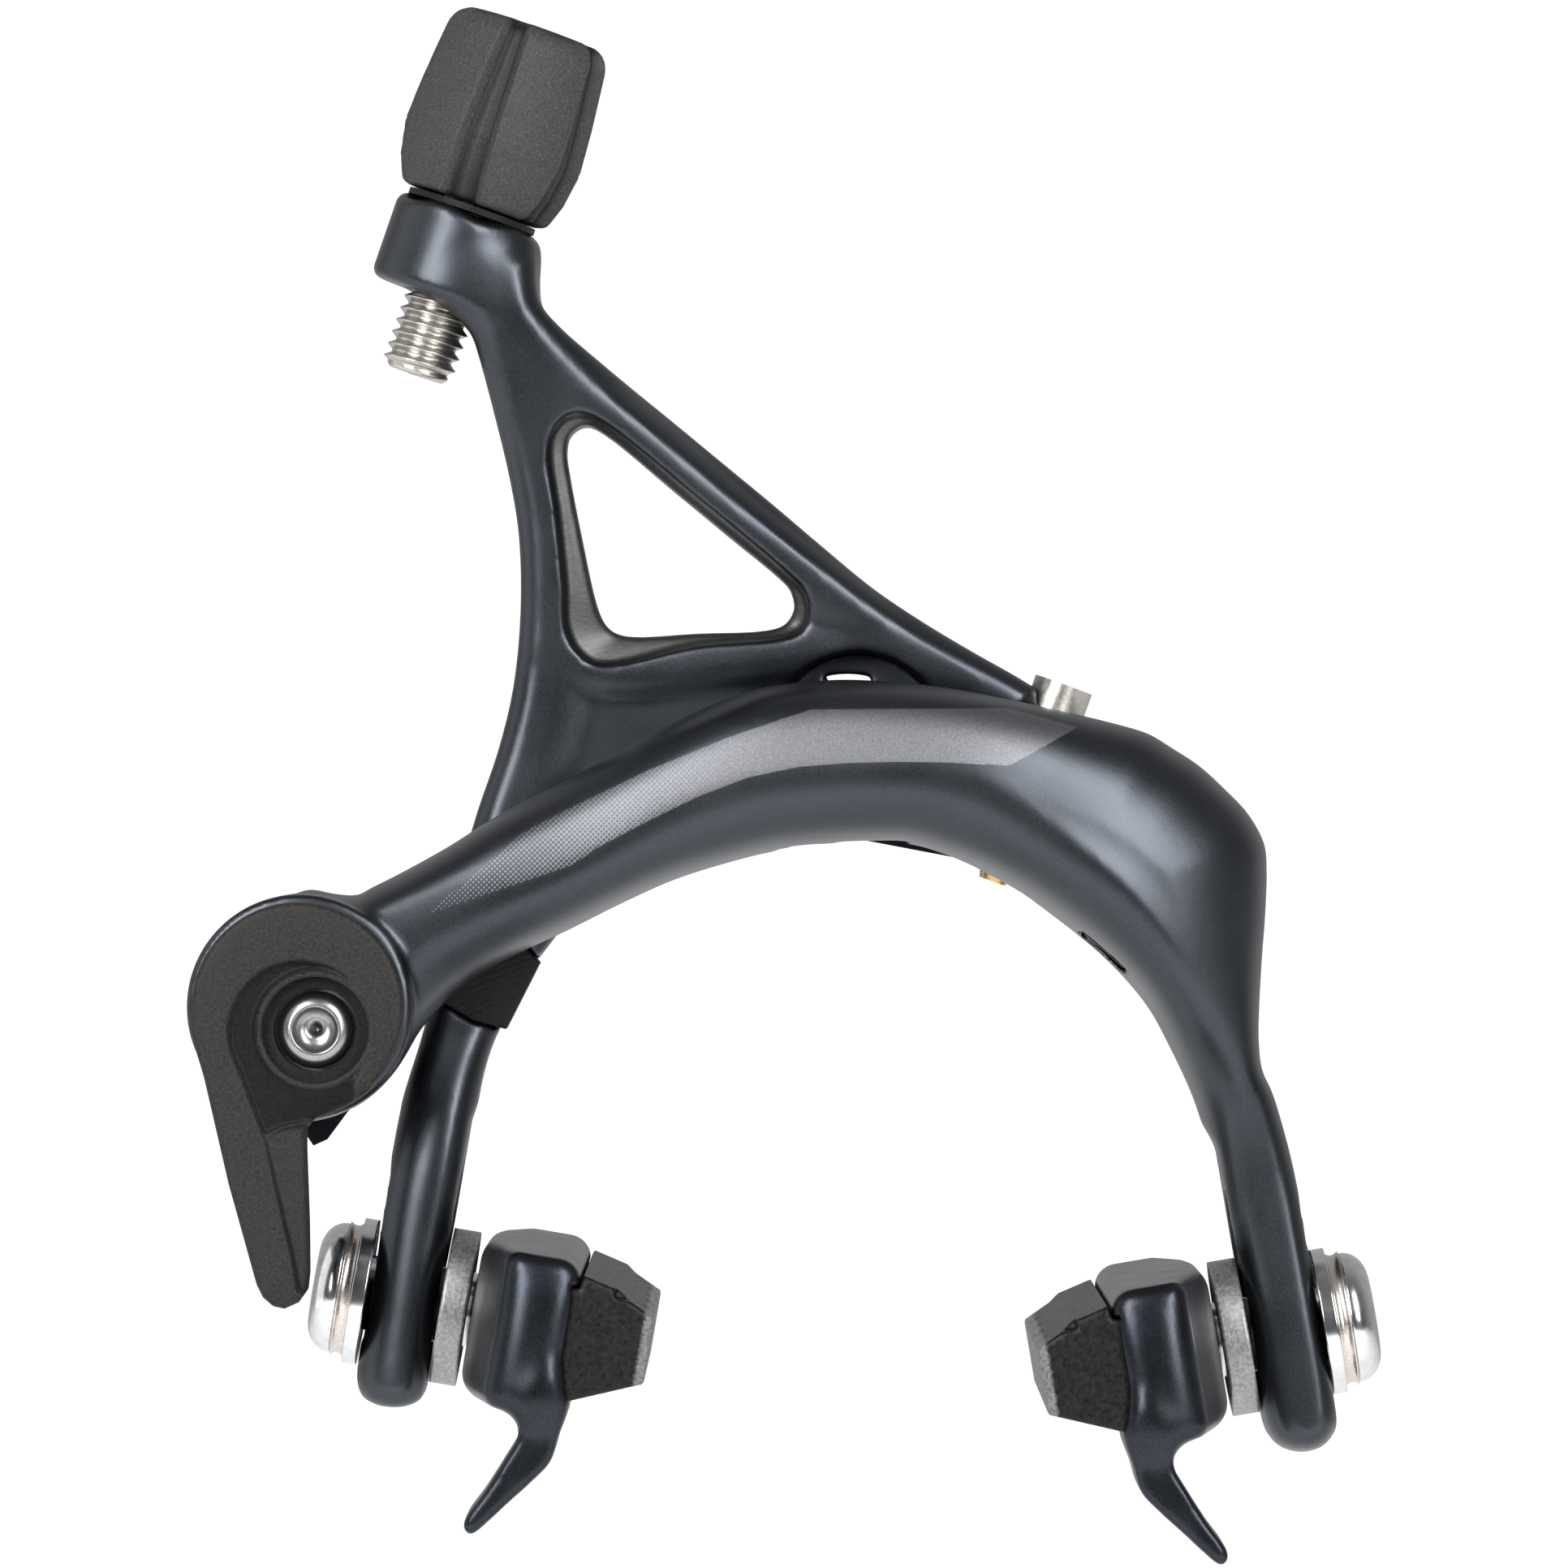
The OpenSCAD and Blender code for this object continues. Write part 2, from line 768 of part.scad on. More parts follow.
// Wedges off the holder's outer flank, towards each end
module flank_taper() {
    end = shoe_length / 2 + 1;
    for (m = [0, 1])
        mirror([0, m, 0])
            translate([0, 0, -10])
                linear_extrude(20)
                    polygon([[5.2, 8], [5.2, end], [8, end]]);
}

module shoe_holder(side) {
    color([0.25, 0.26, 0.28])
        pad_frame(side)
            difference() {
                union() {
                    slab(-shoe_length / 2, shoe_length / 2)
                        polygon(HOLDER_END);
                    slab(fin_front, fin_front + fin_length)
                        polygon(HOLDER);
                }
                flank_taper();
                rotate([0, 90, 0])
                    cylinder(h = 8.6, r = pad_bolt_r + run);
                translate([12.4, 1.2 - shoe_length / 2, -4.4])
                    cube([4, shoe_length, 8.8]);
                screw_hole();
            }
}

// Hole for the screw that keeps the pad in its holder
screw_from = 8.8;
screw_r = 1.2;
screw_y = 20;

module screw_hole() {
    translate([screw_from, screw_y, 0])
        rotate([0, 90, 0])
            cylinder(h = 5.2, r = screw_r);
}

PAD = [
    [12.5, -4.3], [12.5, 4.3], [14.1, 4.3], [14.1, 5.3], [20.2, 2.9], [20.2, -2.3], [14.1, -4.7],
    [14.1, -4.3]
];

module brake_pad(side) {
    color([0.1, 0.1, 0.1])
        pad_frame(side)
            difference() {
                slab(1.3 - shoe_length / 2, shoe_length / 2)
                    polygon(PAD);
                for (y = [-15, -5, 5, 15])
                    translate([19, y - 0.6, -6])
                        cube([3, 1.2, 12]);
                screw_hole();
            }
}

module pad_screw(side) {
    color("silver")
        pad_frame(side)
            translate([screw_from, screw_y, 0])
                rotate([0, 90, 0])
                    cylinder(h = 5.1, r = screw_r);
}

// ---------- output ----------

mounting_bolt();
seat_washer();
pivot_bridge();
front_thrust_washer();
rear_thrust_washer();
offset_bushing();
offset_thrust_washer();
return_spring();
spring_clip();
front_arm();
offset_pivot_bolt();
equalizer_pin();
lever_washer();
spring_insert();
rear_arm();
centre_bushing();
spring_guide();
adjuster_seal();
screw_sleeve();
centering_screw();
centering_screw_tip();
adjuster_knob();
adjuster_insert();
adjuster_stud();
release_lever();
release_cam();
release_cap_ring();
anchor_bolt();
anchor_plate();
anchor_nut();
pad_bolt(-1);  // left_pad_bolt
inner_washer(-1);  // left_inner_washer
outer_washer(-1);  // left_outer_washer
spacer(-1);  // left_spacer
shoe_holder(-1);  // left_shoe_holder
brake_pad(-1);  // left_brake_pad
pad_screw(-1);  // left_pad_screw
pad_bolt(1);  // right_pad_bolt
inner_washer(1);  // right_inner_washer
outer_washer(1);  // right_outer_washer
spacer(1);  // right_spacer
shoe_holder(1);  // right_shoe_holder
brake_pad(1);  // right_brake_pad
pad_screw(1);  // right_pad_screw
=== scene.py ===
import json
from math import cos, pi, radians, sin

import bpy
import numpy as np
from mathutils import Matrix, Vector


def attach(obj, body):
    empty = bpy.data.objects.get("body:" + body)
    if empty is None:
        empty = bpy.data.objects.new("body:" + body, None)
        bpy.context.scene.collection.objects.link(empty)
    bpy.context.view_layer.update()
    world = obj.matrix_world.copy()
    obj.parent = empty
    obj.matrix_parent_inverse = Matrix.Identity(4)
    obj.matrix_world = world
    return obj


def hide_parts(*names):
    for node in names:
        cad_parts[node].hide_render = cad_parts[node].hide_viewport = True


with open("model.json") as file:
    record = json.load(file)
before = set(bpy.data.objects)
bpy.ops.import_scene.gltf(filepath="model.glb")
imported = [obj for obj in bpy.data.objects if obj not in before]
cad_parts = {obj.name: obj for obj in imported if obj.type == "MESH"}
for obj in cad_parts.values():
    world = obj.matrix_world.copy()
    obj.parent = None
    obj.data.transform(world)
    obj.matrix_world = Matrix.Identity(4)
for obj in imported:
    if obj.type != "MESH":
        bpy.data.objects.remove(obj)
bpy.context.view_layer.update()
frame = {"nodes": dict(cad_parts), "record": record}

MM = 0.001

# ---------- fields: negative inside, in millimetres ----------


def spline(points, steps=5, closed=True):
    """Smooth curve through the points. Columns after the first two are carried along."""
    p = np.array(points, float)
    if closed:
        ring = np.vstack([p[-1:], p, p[:2]])
    else:
        ring = np.vstack([2 * p[:1] - p[1:2], p, 2 * p[-1:] - p[-2:-1]])
    rows = []
    for a, b, c, d in zip(ring, ring[1:], ring[2:], ring[3:]):
        gaps = [max(np.hypot(*(v - u)[:2]), 1e-6) ** 0.5 for u, v in ((a, b), (b, c), (c, d))]
        k = np.cumsum([0.0] + gaps)
        t = np.linspace(k[1], k[2], steps, endpoint=False)[:, None]
        ab = ((k[1] - t) * a + (t - k[0]) * b) / (k[1] - k[0])
        bc = ((k[2] - t) * b + (t - k[1]) * c) / (k[2] - k[1])
        cd = ((k[3] - t) * c + (t - k[2]) * d) / (k[3] - k[2])
        abc = ((k[2] - t) * ab + (t - k[0]) * bc) / (k[2] - k[0])
        bcd = ((k[3] - t) * bc + (t - k[1]) * cd) / (k[3] - k[1])
        rows.append(((k[2] - t) * abc + (t - k[1]) * bcd) / (k[2] - k[1]))
    if not closed:
        rows.append(p[-1:])
    return np.vstack(rows)


def nearest(path, x, z, closed=False):
    """Distance to a path, the side (+1 is left of its direction) and the place along it."""
    shape = np.broadcast(x, z).shape
    best = np.full(shape, 1e9)
    side = np.ones(shape)
    place = np.zeros(shape)
    ends = np.roll(path, -1, 0) if closed else path[1:]
    for i, (a, b) in enumerate(zip(path, ends)):
        dx, dz = b[0] - a[0], b[1] - a[1]
        px, pz = x - a[0], z - a[1]
        t = np.clip((px * dx + pz * dz) / (dx * dx + dz * dz), 0, 1)
        gap = (px - t * dx) ** 2 + (pz - t * dz) ** 2
        closer = gap < best
        best = np.where(closer, gap, best)
        side = np.where(closer, np.where(dx * pz - dz * px > 0, 1.0, -1.0), side)
        place = np.where(closer, i + t, place)
    return np.sqrt(best), side, place


def region(path, x, z):
    """Signed distance to a closed outline."""
    gap, _, _ = nearest(path, x, z, closed=True)
    inside = np.zeros(gap.shape, bool)
    for a, b in zip(path, np.roll(path, -1, 0)):
        if a[1] != b[1]:
            crosses = (a[1] > z) != (b[1] > z)
            inside ^= crosses & (x < a[0] + (z - a[1]) * (b[0] - a[0]) / (b[1] - a[1]))
    return np.where(inside, -gap, gap)


def along(path, column, place):
    """Value of a carried column at a place on the path."""
    return np.interp(place, np.arange(len(path)), path[:, column])


def both(a, b, r=0.0):
    """Where a and b overlap, with the edge between them rounded."""
    if r == 0:
        return np.maximum(a, b)
    outside = np.hypot(np.maximum(a + r, 0), np.maximum(b + r, 0))
    return np.minimum(np.maximum(a, b), -r) + outside


def either(a, b, r=0.0):
    """a and b joined, with the corner between them filled."""
    if r == 0:
        return np.minimum(a, b)
    h = np.maximum(r - abs(a - b), 0) / r
    return np.minimum(a, b) - h * h * r / 4


def without(a, b, r=0.0):
    """a with b cut out of it, the cut's edge rounded."""
    return both(a, -b, r)


def smooth_max(a, b, r):
    """Like both, with the edge eased off instead of rounded."""
    return -either(-a, -b, r)


def span(value, low, high):
    """How far a coordinate is outside a range."""
    return np.maximum(low - value, value - high)


def ramp(value, start, end):
    """0 at start, 1 at end, straight between and level beyond."""
    return np.clip((value - start) / (end - start), 0, 1)


def rod_y(x, y, z, centre, low, high, radius, edge=0.0):
    """A rod along Y."""
    across = np.hypot(x - centre[0], z - centre[1]) - radius
    return both(across, span(y, low, high), edge)


# ---------- meshes from fields ----------


def crossings(values, axis, cells):
    """Grid edges along an axis on which the sign changes, away from the grid's border: their first
    corners, the points where they are zero, and whether they run inwards."""
    u, w = (axis + 1) % 3, (axis + 2) % 3
    first = tuple(slice(0, -1) if k == axis else slice(None) for k in range(3))
    second = tuple(slice(1, None) if k == axis else slice(None) for k in range(3))
    hit = (values[first] < 0) != (values[second] < 0)
    at = np.argwhere(hit)
    a, b = values[first][hit], values[second][hit]
    keep = (at[:, u] > 0) & (at[:, w] > 0) & (at[:, u] < cells[u]) & (at[:, w] < cells[w])
    at, a, b = at[keep], a[keep], b[keep]
    point = at.astype(float)
    point[:, axis] += a / (a - b)
    return at, point, a > 0


def surface(field, low, high, step):
    """Quad mesh of the zero surface of a field inside a box from low to high. Each grid cell that
    the surface passes through gets a vertex at the mean of its edge crossings, which is then moved
    onto the surface in two passes."""
    axes = [np.arange(a, b + step, step) for a, b in zip(low, high)]
    size = tuple(len(a) for a in axes)
    grid = np.meshgrid(*axes, indexing="ij", sparse=True)
    values = np.ascontiguousarray(np.broadcast_to(field(*grid), size))
    cells = np.array(size) - 1
    sums = np.zeros((4, cells.prod()))
    quads = []
    for axis in range(3):
        at, point, inwards = crossings(values, axis, cells)
        around = []
        for du, dw in ((1, 1), (0, 1), (0, 0), (1, 0)):
            cell = at.copy()
            cell[:, (axis + 1) % 3] -= du
            cell[:, (axis + 2) % 3] -= dw
            cell = np.ravel_multi_index(cell.T, cells)
            around.append(cell)
            for k in range(3):
                sums[k] += np.bincount(cell, point[:, k], len(sums[k]))
            sums[3] += np.bincount(cell, minlength=len(sums[3]))
        quad = np.array(around).T
        quad[inwards] = quad[inwards][:, ::-1]
        quads.append(quad)
    quads = np.vstack(quads)
    used, faces = np.unique(quads, return_inverse=True)
    points = (sums[:3, used] / sums[3, used]).T * step + np.array([a[0] for a in axes])
    for _ in range(2):
        points = onto(field, points, step)
    return points, faces.reshape(quads.shape).tolist()


def onto(field, points, step):
    """Moves points towards the zero surface along the field's slope."""
    nudge = 0.05 * step
    value = field(*points.T)
    slope = np.empty_like(points)
    for k in range(3):
        shifted = points.copy()
        shifted[:, k] += nudge
        slope[:, k] = (field(*shifted.T) - value) / nudge
    steepness = np.maximum((slope ** 2).sum(1), 0.05)
    move = -slope * (value / steepness)[:, None]
    length = np.linalg.norm(move, axis=1)
    return points + move * np.minimum(1, 0.5 * step / np.maximum(length, 1e-9))[:, None]


def piece(name, mesh, body, material, node):
    """A visible piece from points and faces in millimetres. It stands for the given CAD node."""
    points, faces = mesh
    data = bpy.data.meshes.new(name)
    data.from_pydata((points * MM).tolist(), [], faces)
    data.polygons.foreach_set("use_smooth", [True] * len(data.polygons))
    data.materials.append(material)
    obj = bpy.data.objects.new(name, data)
    bpy.context.scene.collection.objects.link(obj)
    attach(obj, body)
    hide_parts(node)
    return obj


# ---------- local frames ----------

# Origins and leans of the adjuster's axis, the centering screw's axis and the two shoes
ADJUSTER = (-30.05, -15.0, 44.3)
LEAN = radians(19)
SCREW = (14.35, -13.0, -2.0)
SCREW_LEAN = radians(20)
LEGS = {"left": (-35.5, -15.0, -42.9), "right": (34.95, -15.0, -45.3)}
PAD_TILT = radians(9.6)


def into(x, y, z, origin, lean, mirrored=False):
    """Coordinates in a frame that leans about Y, from those of the whole object."""
    x, y, z = x - origin[0], y - origin[1], z - origin[2]
    if mirrored:
        x = -x
    return cos(lean) * x - sin(lean) * z, y, sin(lean) * x + cos(lean) * z


def out_of(mesh, origin, lean, mirrored=False):
    """A mesh in a leaning frame, moved to the frame of the whole object."""
    points, faces = mesh
    x, y, z = points.T
    x, z = cos(lean) * x + sin(lean) * z, cos(lean) * z - sin(lean) * x
    if mirrored:
        x = -x
        faces = [face[::-1] for face in faces]
    return np.stack([x, y, z], 1) + origin, faces


# ---------- turned shapes ----------

PITCH = 1.0
ROOT_R = 2.42
HEX_FLATS = 4.0


def turned(profile, sides, shape=None):
    """Mesh turned about Z from [radius, height] rows. The first and last rows may lie on the axis.
    shape(radius, height, angle) gives the radius where it isn't the plain one; angle 0 faces -Y."""
    profile = np.array(profile, float)
    angles = np.linspace(0, 2 * pi, sides, endpoint=False)
    capped = [int(profile[0, 0] == 0), int(profile[-1, 0] == 0)]
    rows = profile[capped[0]:len(profile) - capped[1]]
    radius = rows[:, :1] + 0 * angles
    if shape:
        radius = shape(radius, rows[:, 1:] + 0 * angles, angles + 0 * rows[:, :1])
    heights = rows[:, 1:] + 0 * angles
    points = np.stack([radius * np.sin(angles), -radius * np.cos(angles), heights], -1).reshape(-1, 3)
    n = len(rows)
    index = np.arange(n * sides).reshape(n, sides)
    a, b = index, np.roll(index, -1, 1)
    stack = list(zip(range(n - 1), range(1, n)))
    if not any(capped):
        stack.append((n - 1, 0))
    faces = []
    for i, j in stack:
        faces += np.stack([a[i], b[i], b[j], a[j]], -1).tolist()
    points = points.tolist()
    if capped[0]:
        points.append([0, 0, profile[0, 1]])
        faces += [[p, q, len(points) - 1] for p, q in zip(b[0].tolist(), a[0].tolist())]
    if capped[1]:
        points.append([0, 0, profile[-1, 1]])
        faces += [[p, q, len(points) - 1] for p, q in zip(a[-1].tolist(), b[-1].tolist())]
    return np.array(points), faces


def between(low, high, step):
    """Evenly spaced values from low to high, about a step apart."""
    return np.linspace(low, high, max(2, int(round(abs(high - low) / step)) + 1))


def threaded(radius, height, angle, depth, low, high):
    """Raises a right-handed thread on the rows at the thread's root, fading out at its two ends."""
    turn = (height / PITCH - angle / (2 * pi)) % 1
    tooth = np.clip(abs(turn - 0.5) * 2.6 - 0.25, 0, 1)
    fade = ramp(height, low, low + PITCH / 2) * ramp(height, high, high - PITCH / 2)
    return radius + np.where(abs(radius - ROOT_R) < 0.01, depth * tooth * fade, 0)


def hex_socket(radius, height, angle, above):
    """Makes the wall of a round hole in an axis's end hexagonal above a height."""
    hole = (radius < HEX_FLATS * 0.52) & (height > above) & (radius > 0.9)
    return np.where(hole, HEX_FLATS / 2 / np.cos(angle % (pi / 3) - pi / 6), radius)


# ---------- rear arm ----------

HUB_R = 6.0
HUB_BACK = -7.6
PLATE_BACK = -10.6
BARREL_R = 6.0
SCREW_BOSS_R = 3.1
# In a pad's frame: half a leg's thickness, where it starts to widen, and its slot's two ends
LEG_HALF = 2.9
LEG_WIDENS = 14.9
PAD_SLOT = (-1.5, 8.5)
PAD_SLOT_R = 3.1
STUD_BORE_R = 3.3
SCREW_BORE_R = 2.05
CENTRE_BORE_R = 4.4
# Inner and outer radius of the slit that the spring passes through, then the spring's own sizes
SPRING_GAP_R = (6.3, 7.15)
SPRING_ARCH_R = 8.7
SPRING_WIRE_R = 0.9
SPRING_Y = -8.7
# Direction from the hub to the offset pivot, and how far along it the arms' shared pin is
PIN_WAY = (0.979, -0.202)
PIN_OUT = 12.36

REAR_OUTLINE = spline([
    (-33.5, -50.0), (-33.2, -47.0), (-32.4, -41.5), (-31.5, -37.5), (-30.7, -33.5), (-30.1, -30.0),
    (-29.2, -25.0), (-28.2, -22.0), (-26.5, -19.0), (-25.3, -16.5), (-23.9, -14.6), (-21.5, -11.6),
    (-18.0, -9.0), (-12.0, -6.8), (-4.5, -5.4), (4.5, -5.4), (9.6, -3.2), (12.6, 1.0), (14.9, 4.6),
    (15.1, 5.8), (14.2, 6.5), (10.0, 8.9), (6.0, 11.3), (2.0, 14.0), (-2.0, 17.3), (-6.0, 20.7),
    (-10.0, 24.0), (-14.0, 27.3), (-20.0, 32.2), (-23.0, 34.8), (-24.5, 36.6), (-24.9, 38.3),
    (-25.5, 40.5), (-33.0, 40.5), (-33.5, 38.0), (-31.0, 35.6), (-30.0, 34.0), (-29.5, 32.5),
    (-28.3, 28.0), (-27.0, 22.5), (-26.3, 18.0), (-26.2, 12.0), (-26.8, 6.0), (-28.0, 1.0),
    (-29.7, -4.0), (-31.4, -10.0), (-32.7, -15.5), (-33.9, -21.2), (-35.9, -28.0), (-37.4, -36.0),
    (-38.0, -40.5), (-39.2, -48.0), (-39.2, -49.5), (-38.8, -50.6), (-37.5, -51.3), (-35.5, -51.4),
    (-34.2, -50.9)], steps=4)

# Ridges of its front (x, z, y), then the outlines of its window and of the sunk ledge round that
LIMB = spline([
    (-26.8, 36.5, -20.6), (-26.0, 31.0, -19.8), (-25.0, 26.0, -19.0), (-24.4, 20.0, -18.5),
    (-24.2, 14.0, -18.0), (-24.6, 8.0, -17.3), (-25.6, 2.0, -17.0), (-27.2, -4.0, -16.95),
    (-29.2, -12.0, -16.95), (-30.3, -17.0, -17.0), (-31.3, -21.5, -17.8), (-32.4, -26.0, -19.6),
    (-33.4, -31.0, -20.4), (-34.8, -38.0, -20.5), (-36.2, -48.0, -20.4), (-36.4, -51.0, -20.2)],
    steps=4, closed=False)
STRUT = spline([
    (-27.0, 36.5, -20.6), (-20.0, 30.2, -19.3), (-14.0, 25.2, -18.8), (-8.0, 20.2, -18.4),
    (0.0, 14.3, -18.0), (6.0, 10.4, -17.2), (14.5, 5.9, -16.9)], steps=4, closed=False)
LOWER = spline([
    (-24.4, 10.0, -17.4), (-19.0, 7.6, -17.2), (-10.0, 8.4, -17.2), (-3.0, 9.2, -17.3),
    (2.0, 9.2, -17.2), (8.0, 7.7, -17.0), (14.0, 5.4, -16.9)], steps=4, closed=False)
WINDOW = spline([
    (-19.7, 26.45), (-21.0, 26.95), (-22.2, 26.2), (-22.5, 24.9), (-22.3, 23.2), (-21.3, 18.0),
    (-20.1, 12.6), (-19.5, 11.2), (-18.8, 10.5), (-17.5, 10.1), (-12.0, 10.35), (-6.4, 10.6),
    (-5.0, 11.1), (-4.3, 12.3), (-4.6, 13.8), (-5.4, 14.7), (-9.4, 18.0), (-14.0, 21.8)], steps=4)
LEDGE = spline([
    (-24.1, 25.5), (-22.9, 27.6), (-21.3, 28.1), (-19.3, 27.3), (-12.0, 21.4), (-4.8, 15.4),
    (-3.3, 13.8), (-2.9, 12.0), (-3.6, 10.4), (-5.2, 9.7), (-12.0, 9.1), (-18.6, 7.6), (-20.4, 7.7),
    (-22.0, 9.0), (-22.8, 11.0), (-22.9, 14.0), (-23.5, 20.0)], steps=4)

# Outline of the black guide's seat
GUIDE = np.array([(-32.4, -19.2), (-29.9, -20.7), (-27.3, -21.3), (-24.6, -16.0), (-26.0, -14.6),
                  (-31.2, -14.4)])


def ridge(path, x, z, fall, start):
    """Front y beside a ridge: flat to start, then falling as a curve."""
    gap, side, place = nearest(path, x, z)
    beyond = np.maximum(gap - start, 0)
    return along(path, 2, place) + fall * beyond ** 2, gap * side


def rear_front(x, z):
    """Front y of the rear arm: three ridges blended over a low floor. The leg falls off sooner and
    leans outwards, and the strut slopes to its outer side."""
    leg = ramp(z, -20, -28)
    limb, aside = ridge(LIMB, x, z, 0.05 + 0.08 * leg, 1 - leg)
    limb = limb - 0.16 * leg * aside
    strut, outward = ridge(STRUT, x, z, 0.06, 0.3)
    strut = strut + 0.75 * ramp(z, 35, 29) * (outward + np.sqrt(outward ** 2 + 0.5))
    lower, _ = ridge(LOWER, x, z, 0.12, 0.2)
    front = either(limb, strut, 0.7)
    front = either(front, lower, 0.5)
    return either(front, -16.55 + 0 * x, 0.3)


def leg_cuts(body, x, y, z, side):
    """Flats beside a leg, which widen above its pad bolt, and the slot for that bolt."""
    u, v, w = into(x, y, z, LEGS[side], PAD_TILT, side == "right")
    above = np.maximum(w - LEG_WIDENS, 0)
    body = both(body, abs(u) - LEG_HALF - 0.25 * above - 0.03 * above ** 3, 0.3)
    slot = both(np.hypot(v, np.maximum(0, span(w, *PAD_SLOT))) - PAD_SLOT_R, abs(u) - 5)
    return without(body, slot, 0.2)


def rear_plate(x, y, z):
    """Limb, strut and lower bar as one plate with a window and a sunk ledge round it."""
    ledge = region(LEDGE, x, z)
    step = ramp(ledge, 0, -0.6)
    sunk = (1.0 + 0.12 * np.clip(-ledge, 0, 3)) * step * step * (3 - 2 * step)
    back = PLATE_BACK + ramp(z, -22, -28) + ramp(z, 26, 34)
    body = both(region(REAR_OUTLINE, x, z), rear_front(x, z) + sunk - y, 1.9)
    body = both(body, y - back, 1.4)
    return without(body, region(WINDOW, x, z), 0.45)


def rear_bosses(body, x, y, z):
    """Adds the adjuster's barrel with its scalloped rim, the hub and the centering screw's boss."""
    u, v, w = into(x, y, z, ADJUSTER, LEAN)
    rim = -0.55 - 0.22 * np.cos(5 * np.arctan2(v, u) + 0.6)
    body = either(body, both(np.hypot(u, v) - BARREL_R, span(w, -7.6, rim), 0.9), 2.4)
    body = either(body, rod_y(x, y, z, (0, 0), -16.9, HUB_BACK, HUB_R, 0.3), 0.6)
    p, q, r = into(x, y, z, SCREW, SCREW_LEAN)
    return either(body, both(np.hypot(p, q) - SCREW_BOSS_R, span(r, -6.6, 6.4), 0.4), 0.8)


def rear_bores(body, x, y, z):
    """Takes out the bores for the stud, for the centering screw and its sleeve, and for the hub."""
    u, v, _ = into(x, y, z, ADJUSTER, LEAN)
    body = without(body, np.hypot(u, v) - STUD_BORE_R, 0.3)
    p, q, r = into(x, y, z, SCREW, SCREW_LEAN)
    body = without(body, both(np.hypot(p, q) - SCREW_BORE_R, abs(r) - 12), 0.2)
    body = without(body, both(np.hypot(p, q) - 2.5, span(r, -7.05, -4.35)))
    return without(body, rod_y(x, y, z, (0, 0), -22, 0, CENTRE_BORE_R), 0.25)


def rear_recesses(body, x, y, z):
    """Takes out the spring's scoop and its slit round the hub, the guide's seat and the pin's slot."""
    from_hub = np.hypot(x, z)
    beyond_hub = SPRING_GAP_R[0] - from_hub
    scoop = both(rod_y(x, y, z, (0.8, 1.9), -22, -12.9, 6.9), beyond_hub)
    body = without(body, scoop, 0.25)
    slit = both(both(beyond_hub, from_hub - SPRING_GAP_R[1]), np.maximum(abs(x) - 1.9, 3 - z))
    body = without(body, slit)
    body = without(body, both(region(GUIDE, x, z) - 0.06, span(y, -22, -11.9)), 0.1)
    outwards = abs(PIN_WAY[0] * x + PIN_WAY[1] * z - PIN_OUT) - 2.6
    pin = both(outwards, abs(PIN_WAY[0] * z - PIN_WAY[1] * x) - 1.95)
    return without(body, both(pin, y + 15.2), 0.1)


def rear_arm_field(x, y, z):
    """The whole arm with its leg."""
    body = rear_plate(x, y, z)
    body = rear_bosses(body, x, y, z)
    body = rear_bores(body, x, y, z)
    body = rear_recesses(body, x, y, z)
    return leg_cuts(body, x, y, z, "left")


# ---------- front arm ----------

DISC = (-43.3, -19.3)
BOSS_R = 8.9
CAM_BORE_R = 6.1
OFFSET_PIVOT = (24.2, -5.0)
ARM_BACK = -17.3
# Middle of the slot for the spring's slide, and its direction along the arm's inner edge
SLIDE = (20.9, -14.4)
SLIDE_WAY = (0.75, -0.66)
SLIDE_Y = -16.2

FRONT_OUTLINE = spline([
    (-43.3, -10.4), (-41.0, -10.6), (-38.9, -10.5), (-38.0, -10.0), (-36.0, -9.0), (-32.0, -6.8),
    (-28.0, -4.3), (-18.5, 0.65), (-12.6, 3.8), (-7.5, 5.8), (-3.6, 6.4), (0.3, 6.6), (7.5, 6.0),
    (15.3, 4.5), (22.1, 2.9), (24.0, 2.3), (26.0, 1.1), (28.0, -0.2), (30.0, -2.0), (32.0, -4.1),
    (33.3, -6.5), (33.5, -8.5), (33.4, -12.0), (33.1, -16.0), (32.85, -22.0), (33.1, -24.5),
    (33.9, -26.3), (34.6, -28.5), (36.0, -33.8), (37.0, -39.0), (38.0, -44.5), (39.1, -51.0),
    (39.1, -53.0), (38.0, -54.6), (36.2, -55.1), (34.3, -54.5), (33.1, -52.6), (32.0, -46.0),
    (31.0, -40.5), (30.0, -36.5), (29.2, -32.0), (28.0, -27.5), (26.0, -23.0), (24.0, -19.4),
    (20.5, -15.5), (16.5, -12.3), (13.5, -10.2), (9.0, -7.8), (5.0, -6.5), (2.0, -6.4),
    (-2.0, -6.6), (-6.0, -7.1), (-10.0, -8.1), (-14.0, -9.4), (-18.0, -11.2), (-22.0, -13.2),
    (-28.0, -16.1), (-31.5, -18.5), (-34.0, -21.2), (-37.0, -25.0), (-38.5, -26.6), (-40.0, -27.5),
    (-41.5, -28.1), (-43.3, -28.2)])

